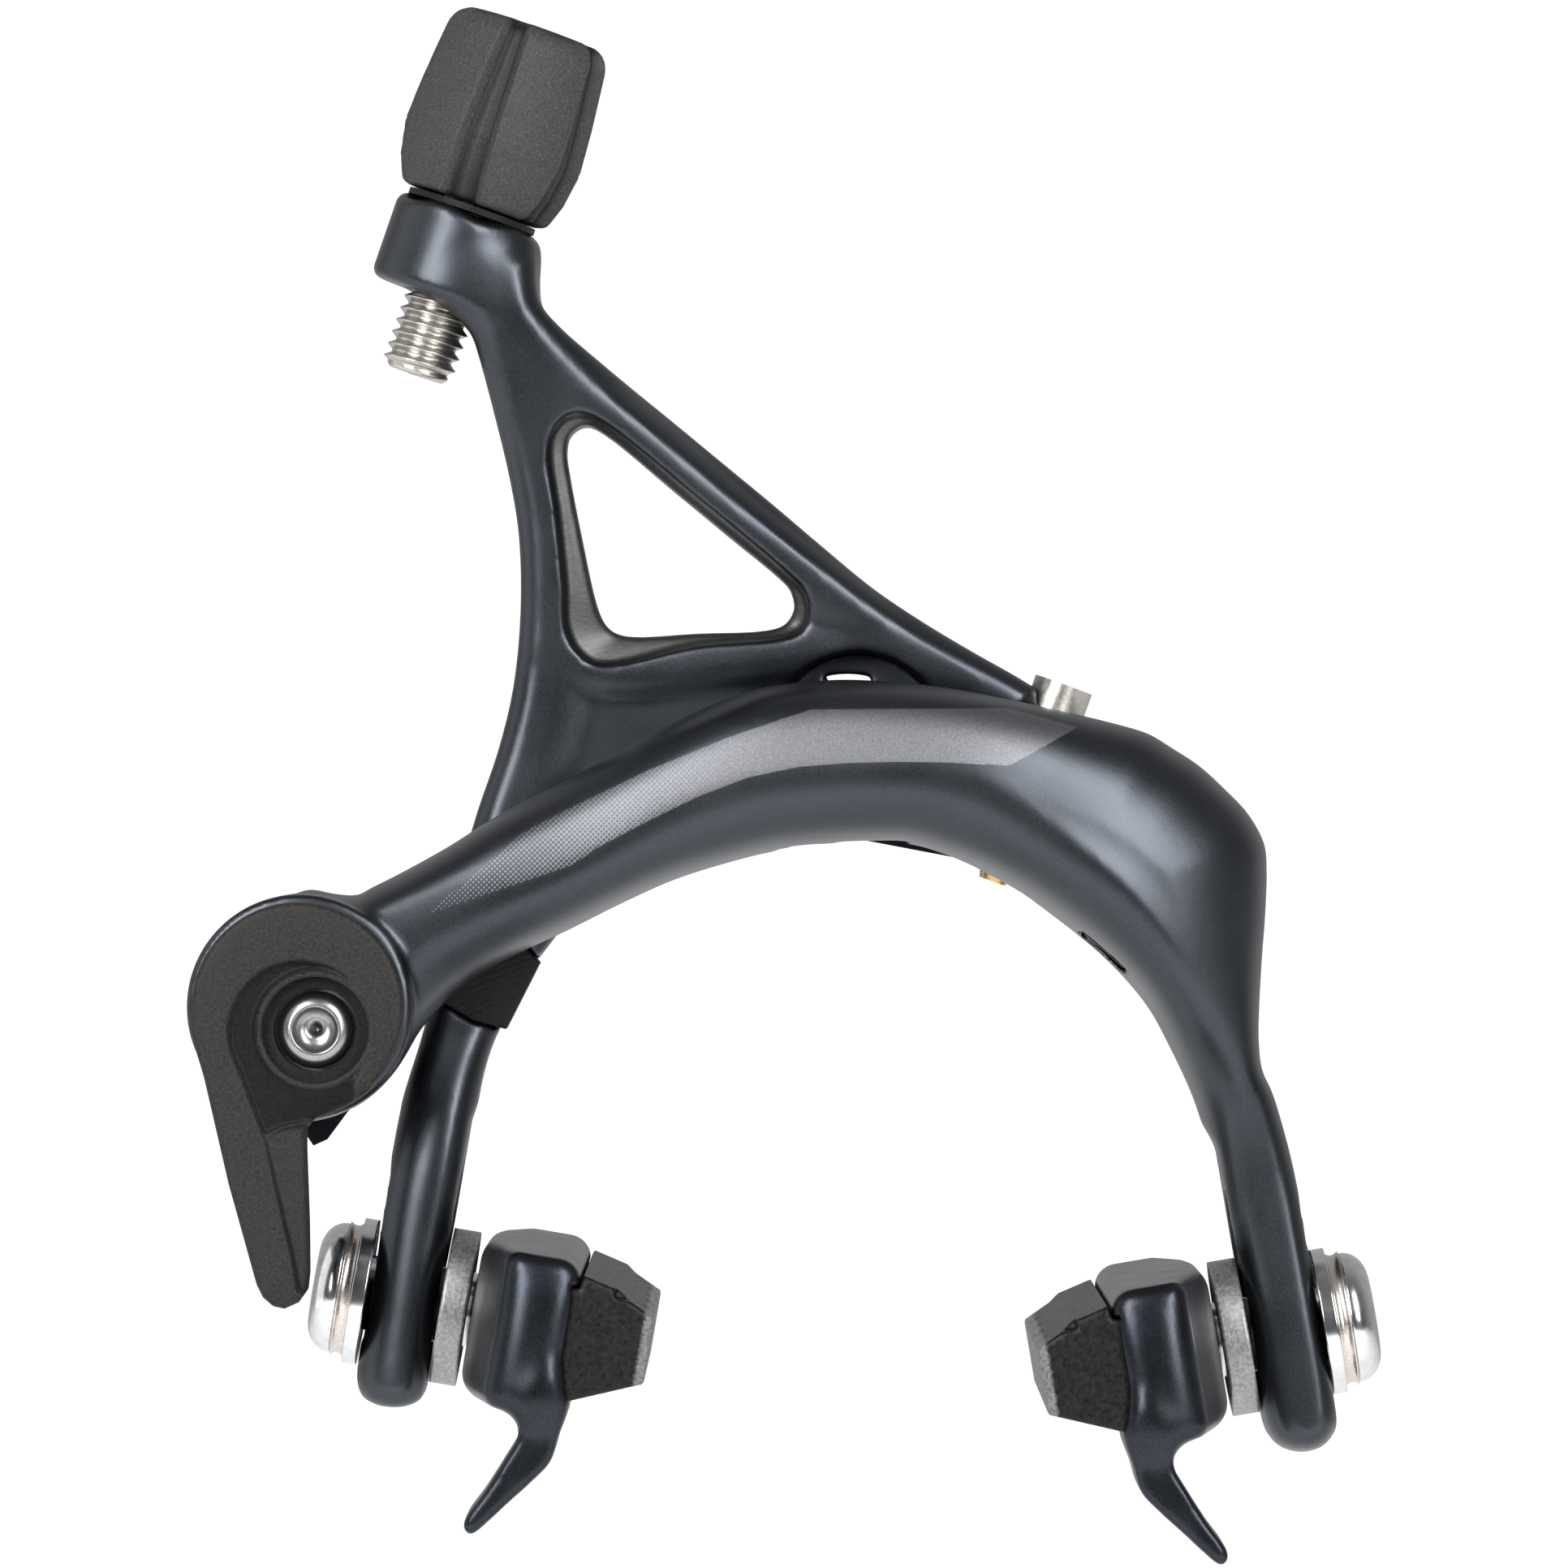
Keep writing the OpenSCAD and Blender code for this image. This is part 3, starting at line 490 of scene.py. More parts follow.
# Crest of the front: x, z, y, then for the outer and again for the inner side the drop to the edge
# and the share of it that is a straight slope, then the y of the back
FRONT_CREST = spline([
    (-40.0, -15.6, -29.3, 5.0, 0.00, 5.0, 0.00, -17.3),
    (-36.0, -13.6, -29.0, 6.5, 0.05, 7.5, 0.05, -17.3),
    (-30.0, -11.2, -28.6, 6.5, 0.12, 8.0, 0.08, -17.3),
    (-22.0, -8.0, -28.4, 6.5, 0.20, 8.0, 0.08, -17.3),
    (-14.0, -3.6, -28.3, 6.5, 0.22, 8.0, 0.08, -17.3),
    (-8.0, -1.3, -28.3, 6.5, 0.22, 8.0, 0.08, -17.3),
    (-2.0, -0.4, -28.3, 6.5, 0.22, 8.0, 0.08, -17.3),
    (5.0, -0.4, -28.3, 6.5, 0.22, 8.0, 0.08, -17.3),
    (10.0, -1.3, -28.2, 6.5, 0.25, 8.0, 0.08, -17.3),
    (14.0, -3.6, -28.0, 7.5, 0.26, 9.0, 0.06, -17.0),
    (18.0, -6.6, -27.8, 9.0, 0.26, 10.0, 0.06, -16.7),
    (22.0, -10.0, -27.2, 9.5, 0.26, 10.0, 0.08, -8.0),
    (26.0, -15.0, -25.9, 9.0, 0.25, 9.0, 0.10, -8.2),
    (29.0, -20.0, -24.1, 7.0, 0.22, 7.0, 0.10, -8.8),
    (31.3, -25.5, -22.2, 4.0, 0.15, 5.0, 0.30, -9.4),
    (33.0, -33.0, -20.7, 2.6, 0.00, 3.0, 0.00, -9.6),
    (35.5, -46.0, -20.5, 2.6, 0.00, 2.6, 0.00, -9.6),
    (36.2, -51.5, -20.4, 2.6, 0.00, 2.6, 0.00, -9.6)], steps=10, closed=False)

# Printed band on the front arm
BAND = np.array([
    (-33.6, -12.1), (-21.8, -8.1), (-19.8, -6.7), (-15.8, -4.6), (-11.9, -2.7), (-8.0, -1.2),
    (-4.0, -0.35), (-0.1, -0.05), (3.9, 0.05), (7.8, 0.0), (12.7, -0.25), (18.2, 2.8), (12.8, 4.3),
    (-3.0, 4.2), (-9.5, 2.0), (-15.8, -0.6), (-21.8, -3.5), (-25.7, -5.5), (-29.6, -8.9)])


def crowned(path, edge, x, y, z):
    """A bar whose front falls from a crest to the edge on each side, partly in a bow and partly
    straight. q goes from 0 at the crest to 1 at the edge."""
    gap, side, place = nearest(path, x, z)
    soft = np.sqrt(gap ** 2 + 0.25) - 0.5
    q = np.clip(soft / np.maximum(soft - edge, 0.2), 0, 1)
    outer = side > 0
    drop = np.where(outer, along(path, 3, place), along(path, 5, place))
    slope = np.where(outer, along(path, 4, place), along(path, 6, place))
    bow = 1 - np.sqrt(1 - 0.97 * q ** np.where(outer, 3.5, 2.5))
    front = along(path, 2, place) + drop * ((1 - slope) * bow + slope * q)
    back = along(path, 7, place)
    shell = both(edge, front - y, 1.6)
    return both(shell, y - back, 1.2)


def slide_plan(x, z):
    """Plan of the slot in the arm's inner edge for the return spring's slide."""
    dx, dz = x - SLIDE[0], z - SLIDE[1]
    along_edge = abs(SLIDE_WAY[0] * dx + SLIDE_WAY[1] * dz) - 2.3
    return both(along_edge, abs(SLIDE_WAY[0] * dz - SLIDE_WAY[1] * dx) - 0.9, 0.3)


def front_arm_field(x, y, z):
    """The arch with the lever's boss, the offset pivot's boss and the mounting bolt's pocket."""
    edge = region(FRONT_OUTLINE, x, z)
    body = crowned(FRONT_CREST, edge, x, y, z)
    body = either(body, rod_y(x, y, z, DISC, -29.7, ARM_BACK, BOSS_R, 0.5), 0.8)
    body = either(body, rod_y(x, y, z, OFFSET_PIVOT, -18, HUB_BACK, 5.2, 0.4), 0.6)
    body = without(body, rod_y(x, y, z, DISC, -31, -16, CAM_BORE_R))
    pocket = rod_y(x, y, z, (0, 0), -21.1, -15, 5.5)
    pocket = either(pocket, rod_y(x, y, z, (-0.5, -4.2), -21.1, -15, 5.6))
    body = without(body, pocket)
    body = without(body, both(slide_plan(x, z), abs(y - SLIDE_Y) - 4.2, 0.2), 0.25)
    return leg_cuts(body, x, y, z, "right")


# ---------- release lever ----------

ANCHOR = (-41.9, -21.0)
LEVER_R = 8.3
LEVER_FRONT = -33.6
LEVER_BACK = -30.0
LEVER_BORE_R = 4.15
LEVER_BLADE = np.array([
    (-51.5, -20.6), (-50.8, -24.0), (-48.7, -33.1), (-46.5, -41.0), (-46.0, -42.0), (-45.2, -42.7),
    (-44.3, -42.9), (-43.2, -42.4), (-42.5, -41.4), (-42.35, -40.0), (-42.4, -36.0), (-42.6, -30.4),
    (-42.6, -28.8), (-41.9, -27.8), (-40.6, -27.2), (-38.0, -25.6), (-43.3, -19.3)])
LEVER_FLOOR = np.array([
    (-48.5, -20.6), (-47.5, -25.0), (-45.9, -29.3), (-44.4, -28.6), (-42.0, -28.2), (-38.8, -26.6),
    (-40.0, -20.0)])
LEVER_FACET = np.array([
    (-45.9, -29.3), (-44.2, -28.65), (-42.0, -28.3), (-41.0, -34.0), (-41.0, -41.6), (-43.2, -41.5),
    (-43.7, -38.8)])


def lever_floor(x, z):
    """Plan of the sunk floor: a C round the bolt's ring, widening into the blade."""
    floor = either(np.hypot(x + 43.1, z + 21.2) - 5.55, region(LEVER_FLOOR, x, z), 0.4)
    return np.maximum(floor, LEVER_BORE_R + 0.6 - np.hypot(x - ANCHOR[0], z - ANCHOR[1]))


def slide_field(x, y, z):
    """The return spring's slide, a little smaller than its slot in the front arm."""
    return both(slide_plan(x, z) + 0.1, abs(y - SLIDE_Y) - 4.05, 0.3)


def guide_field(x, y, z):
    """Black guide at the arch's left foot, with fine ribs across its front."""
    ribs = 0.015 * np.cos(2 * pi * (0.94 * z - 0.34 * x) / 0.5)
    return both(region(GUIDE, x, z), span(y, -17.22 + ribs, -12), 0.3)


def lever_field(x, y, z):
    """Disc and blade with a sunk floor round the bolt, a hollowed facet on the blade and a crown that
    falls off towards the outline."""
    disc = np.hypot(x - DISC[0], z - DISC[1]) - LEVER_R
    plan = either(disc, region(LEVER_BLADE, x, z), 1.0)
    facet = region(LEVER_FACET, x, z)
    hollow = (0.35 + 0.28 * np.clip(x + 45.7, 0, 4)) * ramp(facet, 0.15, -0.15)
    sunk = np.maximum(0.65 * ramp(lever_floor(x, z), 0.2, -0.2), hollow)
    front = LEVER_FRONT + sunk + 0.02 * np.clip(plan + 2.5, 0, 2.5) ** 2
    body = both(plan, span(y, front, LEVER_BACK), 0.45)
    bore = np.hypot(x - ANCHOR[0], z - ANCHOR[1]) - LEVER_BORE_R
    return without(body, both(bore, abs(y + 32) - 5), 0.3)


# ---------- brake shoes, in their pad's frame: u to the rim, v towards the fork, w up ----------

HOLDER_HALF = 25
PAD_GROOVES = (-15, -5, 5, 15)
HOLDER_FIN = spline([
    (11.2, -5.5), (11.25, -7.6), (10.3, -10.2), (9.2, -12.8), (8.05, -15.3), (8.3, -16.0),
    (8.85, -16.1), (9.8, -15.1), (11.1, -13.4), (12.9, -11.1), (13.95, -9.5), (14.2, -7.7),
    (14.1, -5.0), (12.6, -3.0)], steps=4)
PAD_SECTION = np.array([
    (11.0, -4.0), (11.0, 4.0), (13.9, 4.2), (14.1, 5.3), (17.0, 4.6), (17.8, 4.0), (20.1, 2.9),
    (20.1, -2.3), (14.2, -4.75), (13.9, -4.2)])


def grub_screw_hole(u, v, w, low, high):
    """Hole for the screw that holds the pad, near the rear end."""
    return both(np.hypot(v - 20, w) - 1.2, span(u, low, high))


def holder_field(u, v, w):
    """Bar with rounded ends, thinner towards them, a fin below and a channel for the pad."""
    body = both(span(u, 5.3, 14), span(w, -6.1, 6.3), 1.9)
    flank = 5.3 + 2.9 * ramp(abs(v), 7.5, HOLDER_HALF) - u
    body = both(body, flank, 1.2)
    ends = abs(v) - HOLDER_HALF
    body = both(body, ends, 2.2)
    body = smooth_max(body, ends + 0.05 * (u - 11) ** 2 + 0.02 * (w + 0.5) ** 2, 0.8)
    fin = span(v, -24, -11.8) + 0.035 * np.clip(-6 - w, 0, 10) ** 1.2
    body = either(body, both(region(HOLDER_FIN, u, w), fin, 0.45), 2.6)
    channel = both(span(u, 12.4, 20.4), abs(w) - 4.35, 0.3)
    body = without(body, both(channel, span(v, -23.8, 26.2), 0.2))
    body = without(body, both(np.hypot(v, w) - 3.05, span(u, -2.6, 8.6)))
    return without(body, grub_screw_hole(u, v, w, 8.8, 13.2))


def pad_field(u, v, w):
    """Rubber block with grooves across its rim face and a notch in its top at the front end."""
    body = both(region(PAD_SECTION, u, w), span(v, -23.7, 25), 0.35)
    for place in PAD_GROOVES:
        body = without(body, both(19.1 - u, abs(v - place) - 0.6, 0.2), 0.2)
    notch = both(span(u, 16.7, 18.1), np.maximum(span(v, -25.5, -22.5), 3.9 - w), 0.2)
    body = without(body, notch)
    return without(body, grub_screw_hole(u, v, w, 8.8, 14))


# ---------- knob ----------

KNOB_PITCH = 2 * pi / 5
KNOB_LOBE = radians(-46)
KNOB_FOOT = 0.3
KNOB_TOP = 15.3
KNOB_WAIST = 5.3
KNOB_BORE_R = 4.3


def knob_wall(height):
    """Radius of the knob's outside."""
    return np.interp(height, [KNOB_FOOT, 2.5, KNOB_WAIST, 9.0, 13.5, KNOB_TOP],
                     [6.2, 7.0, 7.45, 7.2, 6.72, 6.35])


def knob_shape(radius, height, angle):
    """Five flattened lobes with sharp grooves between them and a fine line round the waist. The
    bore stays round."""
    across = (angle - KNOB_LOBE + KNOB_PITCH / 2) % KNOB_PITCH - KNOB_PITCH / 2
    lobe = 0.968 / np.cos(across) ** 0.45
    half = np.interp(height, [KNOB_FOOT, KNOB_TOP], [1.5, 0.85])
    beside = (KNOB_PITCH / 2 - abs(across)) * knob_wall(height)
    groove = 1.1 * ramp(beside, half + 0.3, half - 0.4)
    line = 0.07 * np.exp(-((height - KNOB_WAIST) / 0.1) ** 2)
    share = ramp(radius, KNOB_BORE_R, KNOB_BORE_R + 1)
    return radius * (1 + share * (lobe - 1)) - share * (groove + line)


def knob():
    foot = [(5.0, KNOB_FOOT), (5.6, KNOB_FOOT), (6.0, 0.42), (knob_wall(0.6) - 0.05, 0.6)]
    wall = [(knob_wall(h), h) for h in between(0.9, 13.9, 0.2)]
    turns = between(0.3, pi / 2, 0.14)
    cap = [(knob_wall(13.9) - 1.7 * (1 - cos(t)), 13.6 + 1.7 * sin(t)) for t in turns]
    top = [(4.6, KNOB_TOP), (4.0, 15.28), (3.4, 15.25), (3.1, 15.1), (3.0, 14.9), (3.0, 14.0)]
    cavity = [(4.2, 14.0), (4.2, 0.6), (KNOB_BORE_R, KNOB_FOOT)]
    return turned(foot + wall + cap + top + cavity, 480, knob_shape)


# ---------- other turned pieces ----------


def stud():
    profile = [(0.8, 4.8), (0.8, -14.0), (2.2, -14.0), (2.5, -13.7)]
    profile += [(ROOT_R, h) for h in between(-13.6, 4.3, 0.08)]
    profile += [(3.7, 4.4), (3.7, 8.4), (3.5, 8.6), (2.75, 8.6), (2.55, 8.4), (2.55, 4.8)]

    def shape(radius, height, angle):
        return threaded(radius, height, angle, 0.53, -13.8, 4.3)
    return turned(profile, 72, shape)


def mounting_bolt():
    profile = [(0, -30.0), (2.0, -30.0), (ROOT_R, -29.4)]
    profile += [(ROOT_R, h) for h in between(-29.3, -1.0, 0.08)]
    profile += [(3.0, -0.9), (3.0, -0.05), (3.2, 0), (3.2, 2.0), (3.5, 2.0), (3.5, 17.5), (4.8, 17.5)]
    profile += [(4.8, 19.8), (4.55, 20.3), (4.1, 20.5), (2.3, 20.5), (2.0, 20.2), (2.0, 18.2), (0, 18.2)]

    def shape(radius, height, angle):
        ridged = threaded(radius, height, angle, 0.55, -29.6, -0.9)
        return hex_socket(ridged, height, angle, 18.1)
    return turned(profile, 72, shape)


def pad_bolt():
    dome = [(5.2 - 2.3 * (1 - cos(t)), 5.4 + 1.9 * sin(t)) for t in between(0, pi / 2, 0.12)]
    profile = [(0, -8.5), (2.6, -8.5), (3.0, -5.3), (3.0, 5.15), (5.1, 5.15), (5.2, 5.25)] + dome
    profile += [(2.6, 7.25), (2.35, 7.0), (2.05, 6.9), (2.05, 4.6), (0, 4.3)]

    def shape(radius, height, angle):
        return hex_socket(radius, height, angle, 4.5)
    return turned(profile, 96, shape)


def anchor_bolt():
    profile = [(0, 14.4), (2.1, 14.4), (2.5, 14.8), (2.5, 30.1), (2.95, 30.1), (3.0, 30.3), (3.0, 32.0)]
    profile += [(3.05 - 1.15 * (1 - cos(t)), 31.6 + 1.7 * sin(t)) for t in between(0.1, 1.35, 0.12)]
    profile += [(1.95, 33.36), (1.78, 33.3), (1.72, 32.9), (1.66, 31.7), (0.9, 31.5), (0.45, 31.45)]
    profile += [(0.42, 30.6), (0, 30.4)]
    return turned(profile, 96)


def washer(r_in, r_out, low, high, edge, hollow=0.0):
    """A ring with its outer edges broken, and its rim hollowed where asked."""
    steps = between(0, 1, 0.12)
    rim = [(r_out - hollow * (1 - (2 * t - 1) ** 2), low + t * (high - low)) for t in steps]
    loop = [(r_in, low), (r_out - edge, low)] + rim + [(r_out - edge, high), (r_in, high)]
    return turned(loop, 96)


def to_pad(mesh):
    """A turned mesh in the pad's frame, its axis pointing away from the rim."""
    x, y, z = mesh[0].T
    return np.stack([-z, y, x], 1), mesh[1]


def facing(mesh, centre):
    """A turned mesh with its axis pointing to the front."""
    x, y, z = mesh[0].T
    return np.stack([x + centre[0], -z, y + centre[1]], 1), mesh[1]


def spring_path():
    """Middle line of the return spring: an arch over the hub with a straight arm on each side."""
    ends = np.array([(-18.5, -5.6), (14.6, -8.6)])
    far = np.hypot(*ends.T)
    lean = np.arctan2(ends[:, 1], ends[:, 0])
    left = 2 * pi + lean[0] - np.arccos(SPRING_ARCH_R / far[0])
    right = lean[1] + np.arccos(SPRING_ARCH_R / far[1])
    turns = between(left, right, 0.06)
    arch = SPRING_ARCH_R * np.stack([np.cos(turns), np.sin(turns)], 1)
    first = [ends[:1] + (arch[:1] - ends[:1]) * t for t in between(0, 0.97, 0.12)]
    last = [arch[-1:] + (ends[1:] - arch[-1:]) * t for t in between(0.05, 1, 0.12)]
    return np.vstack(first + [arch] + last)


def spring_wire(sides=16):
    """Round wire swept along the spring's path, closed at both ends."""
    path = spring_path()
    way = np.gradient(path, axis=0)
    way /= np.linalg.norm(way, axis=1)[:, None]
    points = []
    for (x, z), (dx, dz) in zip(path, way):
        for a in np.linspace(0, 2 * pi, sides, endpoint=False):
            out, back = SPRING_WIRE_R * cos(a), SPRING_WIRE_R * sin(a)
            points.append((x - dz * out, SPRING_Y + back, z + dx * out))
    rings = np.arange(len(points)).reshape(-1, sides)
    faces = []
    for ring, after in zip(rings, rings[1:]):
        faces += np.stack([ring, np.roll(ring, -1), np.roll(after, -1), after], 1).tolist()
    faces += [rings[0, ::-1].tolist(), rings[-1].tolist()]
    return np.array(points), faces


# ---------- materials: node coordinates are millimetres ----------

DOT_PITCH = 0.42


def feed(tree, value, socket):
    """Links a socket or sets a value."""
    if isinstance(value, bpy.types.NodeSocket):
        tree.links.new(value, socket)
    elif isinstance(value, tuple) and len(value) == 3 and socket.type == "RGBA":
        socket.default_value = (*value, 1)
    else:
        socket.default_value = value


def add(tree, kind, **inputs):
    """A new node, with the inputs given by name."""
    made = tree.nodes.new("ShaderNode" + kind)
    for key, value in inputs.items():
        feed(tree, value, made.inputs[key])
    return made


def calc(tree, operation, a, b=0.0):
    made = tree.nodes.new("ShaderNodeMath")
    made.operation = operation
    feed(tree, a, made.inputs[0])
    feed(tree, b, made.inputs[1])
    return made.outputs[0]


def mix(tree, share, a, b):
    """Number between a and b."""
    made = tree.nodes.new("ShaderNodeMix")
    for place, given in ((0, share), (2, a), (3, b)):
        feed(tree, given, made.inputs[place])
    return made.outputs[0]


def blend(tree, share, a, b):
    """Colour between a and b."""
    made = tree.nodes.new("ShaderNodeMix")
    made.data_type = "RGBA"
    for place, given in ((0, share), (6, a), (7, b)):
        feed(tree, given, made.inputs[place])
    return made.outputs[2]


def remap(tree, value, low, high, to_low, to_high):
    made = tree.nodes.new("ShaderNodeMapRange")
    for socket, given in zip(made.inputs, (value, low, high, to_low, to_high)):
        feed(tree, given, socket)
    return made.outputs[0]


def shade(tree, value, low, high, dark, light):
    """Colour that goes from dark to light as the value goes from low to high."""
    return blend(tree, remap(tree, value, low, high, 0.0, 1.0), dark, light)


def coordinates(tree, stretch=(1, 1, 1)):
    """The object's own coordinates in millimetres; a number over 1 makes the grain finer that way."""
    mapping = add(tree, "Mapping", Vector=add(tree, "TexCoord").outputs["Object"])
    mapping.inputs["Scale"].default_value = tuple(s / MM for s in stretch)
    return mapping.outputs[0]


def noise(tree, where, scale, detail, rough=0.5):
    made = add(tree, "TexNoise", Vector=where, Scale=scale, Detail=detail, Roughness=rough)
    return made.outputs["Fac"]


def carried(tree, name):
    """Value of one of the mesh's attributes."""
    made = tree.nodes.new("ShaderNodeAttribute")
    made.attribute_name = name
    return made.outputs["Fac"]


def new_material(name):
    material = bpy.data.materials.new(name)
    material.use_nodes = True
    tree = material.node_tree
    return material, tree, tree.nodes["Principled BSDF"]


def bumped(tree, shader, height, depth):
    """depth is in millimetres."""
    bump = add(tree, "Bump", Height=height, Distance=depth * MM)
    tree.links.new(bump.outputs[0], shader.inputs["Normal"])


def finish(name, dark, light, metallic, rough, grain, depth, stretch=(1, 1, 1), gloss=0.5):
    """A worked surface: two colours in a fine grain, cloudy roughness and a grain bump."""
    material, tree, shader = new_material(name)
    fine = noise(tree, coordinates(tree, stretch), grain, 3.0, 0.6)
    broad = noise(tree, coordinates(tree), 0.25, 3.0)
    share = calc(tree, "ADD", calc(tree, "MULTIPLY", fine, 0.7), calc(tree, "MULTIPLY", broad, 0.3))
    feed(tree, shade(tree, share, 0.35, 0.65, dark, light), shader.inputs["Base Color"])
    cloud = calc(tree, "ADD", calc(tree, "MULTIPLY", fine, 0.4), calc(tree, "MULTIPLY", broad, 0.6))
    feed(tree, remap(tree, cloud, 0.3, 0.7, *rough), shader.inputs["Roughness"])
    shader.inputs["Metallic"].default_value = metallic
    shader.inputs["Specular IOR Level"].default_value = gloss
    bumped(tree, shader, fine, depth)
    return material


def printed_share(tree, where):
    """Where the band's ink lies: inside its outline, in dots that grow with the attribute fade."""
    spots = add(tree, "SeparateXYZ", Vector=where)
    x, z = spots.outputs[0], spots.outputs[2]
    rising = calc(tree, "MULTIPLY", calc(tree, "ADD", x, z), 2 * pi / DOT_PITCH)
    falling = calc(tree, "MULTIPLY", calc(tree, "SUBTRACT", x, z), 2 * pi / DOT_PITCH)
    dots = calc(tree, "ADD", calc(tree, "COSINE", rising), calc(tree, "COSINE", falling))
    level = remap(tree, carried(tree, "fade"), 0.0, 1.0, -2.0, 2.2)
    dotted = remap(tree, calc(tree, "ADD", dots, level), -0.25, 0.25, 0.0, 1.0)
    inside = remap(tree, carried(tree, "band"), -0.03, 0.03, 1.0, 0.0)
    return calc(tree, "MULTIPLY", inside, dotted)


def arm_metal():
    """Satin blue-grey metal, with the printed band and, by the attribute ledge, the milled step."""
    material, tree, shader = new_material("satin_arm")
    where = coordinates(tree)
    fine = noise(tree, where, 9.0, 2.0, 0.6)
    broad = noise(tree, where, 0.12, 3.0)
    paint = shade(tree, fine, 0.3, 0.7, (0.034, 0.037, 0.043), (0.053, 0.058, 0.066))
    paint = blend(tree, remap(tree, broad, 0.35, 0.65, 0.0, 0.25), paint, (0.062, 0.067, 0.075))
    mottle = noise(tree, where, 7.0, 3.0, 0.7)
    ink = shade(tree, mottle, 0.3, 0.7, (0.095, 0.096, 0.104), (0.165, 0.167, 0.18))
    printed = printed_share(tree, where)
    marks = noise(tree, coordinates(tree, (0.6, 0.6, 6)), 2.0, 3.0, 0.7)
    bare = shade(tree, marks, 0.3, 0.7, (0.058, 0.058, 0.058), (0.1, 0.0995, 0.099))
    milled = remap(tree, carried(tree, "ledge"), -0.42, -0.3, 1.0, 0.0)
    colour = blend(tree, milled, blend(tree, printed, paint, ink), bare)
    feed(tree, colour, shader.inputs["Base Color"])
    shader.inputs["Metallic"].default_value = 1.0
    satin = remap(tree, calc(tree, "ADD", fine, broad), 0.7, 1.3, 0.32, 0.4)
    rough = mix(tree, calc(tree, "MAXIMUM", milled, printed), satin, 0.47)
    feed(tree, rough, shader.inputs["Roughness"])
    bumped(tree, shader, fine, 0.003)
    return material


def knob_plastic():
    """Glittering grained moulding, with painted shade, near black, in its grooves and hollows, read from
    a vertex attribute.
    """
    material, tree, shader = new_material("moulded_knob")
    where = coordinates(tree)
    grain = noise(tree, where, 5.0, 4.0, 0.7)
    cell = add(tree, "TexVoronoi", Vector=where, Scale=3.2).outputs["Distance"]
    speck = remap(tree, cell, 0.0, 0.25, 0.5, 0.0)
    base = shade(tree, grain, 0.3, 0.7, (0.017, 0.0165, 0.016), (0.048, 0.0465, 0.045))
    sparkling = blend(tree, speck, base, (0.13, 0.127, 0.124))
    # painted shade: grooves and hollows darkened to near black by the groove-depth attribute
    colour = blend(tree, carried(tree, "painted_groove_shade"), sparkling, (0.006, 0.006, 0.006))
    feed(tree, colour, shader.inputs["Base Color"])
    shader.inputs["Specular IOR Level"].default_value = 0.17
    feed(tree, remap(tree, grain, 0.3, 0.7, 0.42, 0.6), shader.inputs["Roughness"])
    bumped(tree, shader, grain, 0.03)
    return material


def lever_plastic():
    """Grained moulding, with painted shade darkening the sunk floor round the bolt, read from a vertex
    attribute.
    """
    material, tree, shader = new_material("grained_lever")
    grain = noise(tree, coordinates(tree), 4.5, 4.0, 0.7)
    skin = shade(tree, grain, 0.3, 0.7, (0.007, 0.0067, 0.0064), (0.026, 0.0247, 0.0236))
    # painted shade: near-black colour laid on the sunk floor round the bolt
    floor = shade(tree, grain, 0.4, 0.75, (0.001, 0.001, 0.001), (0.007, 0.0066, 0.0064))
    feed(tree, blend(tree, carried(tree, "painted_floor_shade"), skin, floor), shader.inputs["Base Color"])
    shader.inputs["Specular IOR Level"].default_value = 0.12
    feed(tree, remap(tree, grain, 0.3, 0.7, 0.36, 0.55), shader.inputs["Roughness"])
    bumped(tree, shader, grain, 0.04)
    return material


def pad_rubber():
    """Black moulded rubber, scuffed grey where it meets the rim (attribute rim)."""
    material, tree, shader = new_material("pad_rubber")
    skin = noise(tree, coordinates(tree), 2.5, 4.0, 0.7)
    scuff = noise(tree, coordinates(tree, (1, 0.15, 1)), 4.0, 3.0, 0.8)
    near = calc(tree, "ADD", carried(tree, "rim"), calc(tree, "MULTIPLY", scuff, 0.4))
    black = shade(tree, skin, 0.3, 0.7, (0.003, 0.003, 0.003), (0.010, 0.010, 0.010))
    grey = shade(tree, scuff, 0.3, 0.7, (0.045, 0.047, 0.045), (0.16, 0.165, 0.16))
    feed(tree, shade(tree, near, 0.45, 0.7, black, grey), shader.inputs["Base Color"])
    shader.inputs["Specular IOR Level"].default_value = 0.14
    feed(tree, remap(tree, skin, 0.3, 0.7, 0.26, 0.5), shader.inputs["Roughness"])
    bumped(tree, shader, skin, 0.05)
    return material


ARM = arm_metal()
KNOB = knob_plastic()
LEVER = lever_plastic()
RUBBER = pad_rubber()
# name, dark, light, metallic, range of roughness, grain per mm, bump depth, stretch of the grain
SHOE = finish("shoe_metal", (0.016, 0.018, 0.022), (0.032, 0.036, 0.043), 0.95,
              (0.26, 0.36), 8.0, 0.004)
CHROME = finish("polished_chrome", (0.50, 0.50, 0.51), (0.60, 0.60, 0.61), 1.0,
                (0.15, 0.21), 1.0, 0.0005)
BUTTON = finish("button_steel", (0.22, 0.22, 0.225), (0.3, 0.3, 0.305), 1.0,
                (0.27, 0.33), 6.0, 0.001)
WARM = finish("warm_steel", (0.42, 0.38, 0.35), (0.60, 0.55, 0.51), 1.0,
              (0.2, 0.36), 3.0, 0.004, (1, 1, 4))
THREADED = finish("plated_steel", (0.34, 0.325, 0.30), (0.48, 0.46, 0.43), 1.0,
                  (0.26, 0.4), 4.0, 0.003)
BLASTED = finish("blasted_aluminium", (0.17, 0.17, 0.17), (0.34, 0.34, 0.335), 0.9,
                 (0.4, 0.55), 3.5, 0.03)
BRONZE = finish("oiled_bronze", (0.45, 0.28, 0.10), (0.62, 0.42, 0.18), 1.0,
                (0.28, 0.45), 5.0, 0.006)
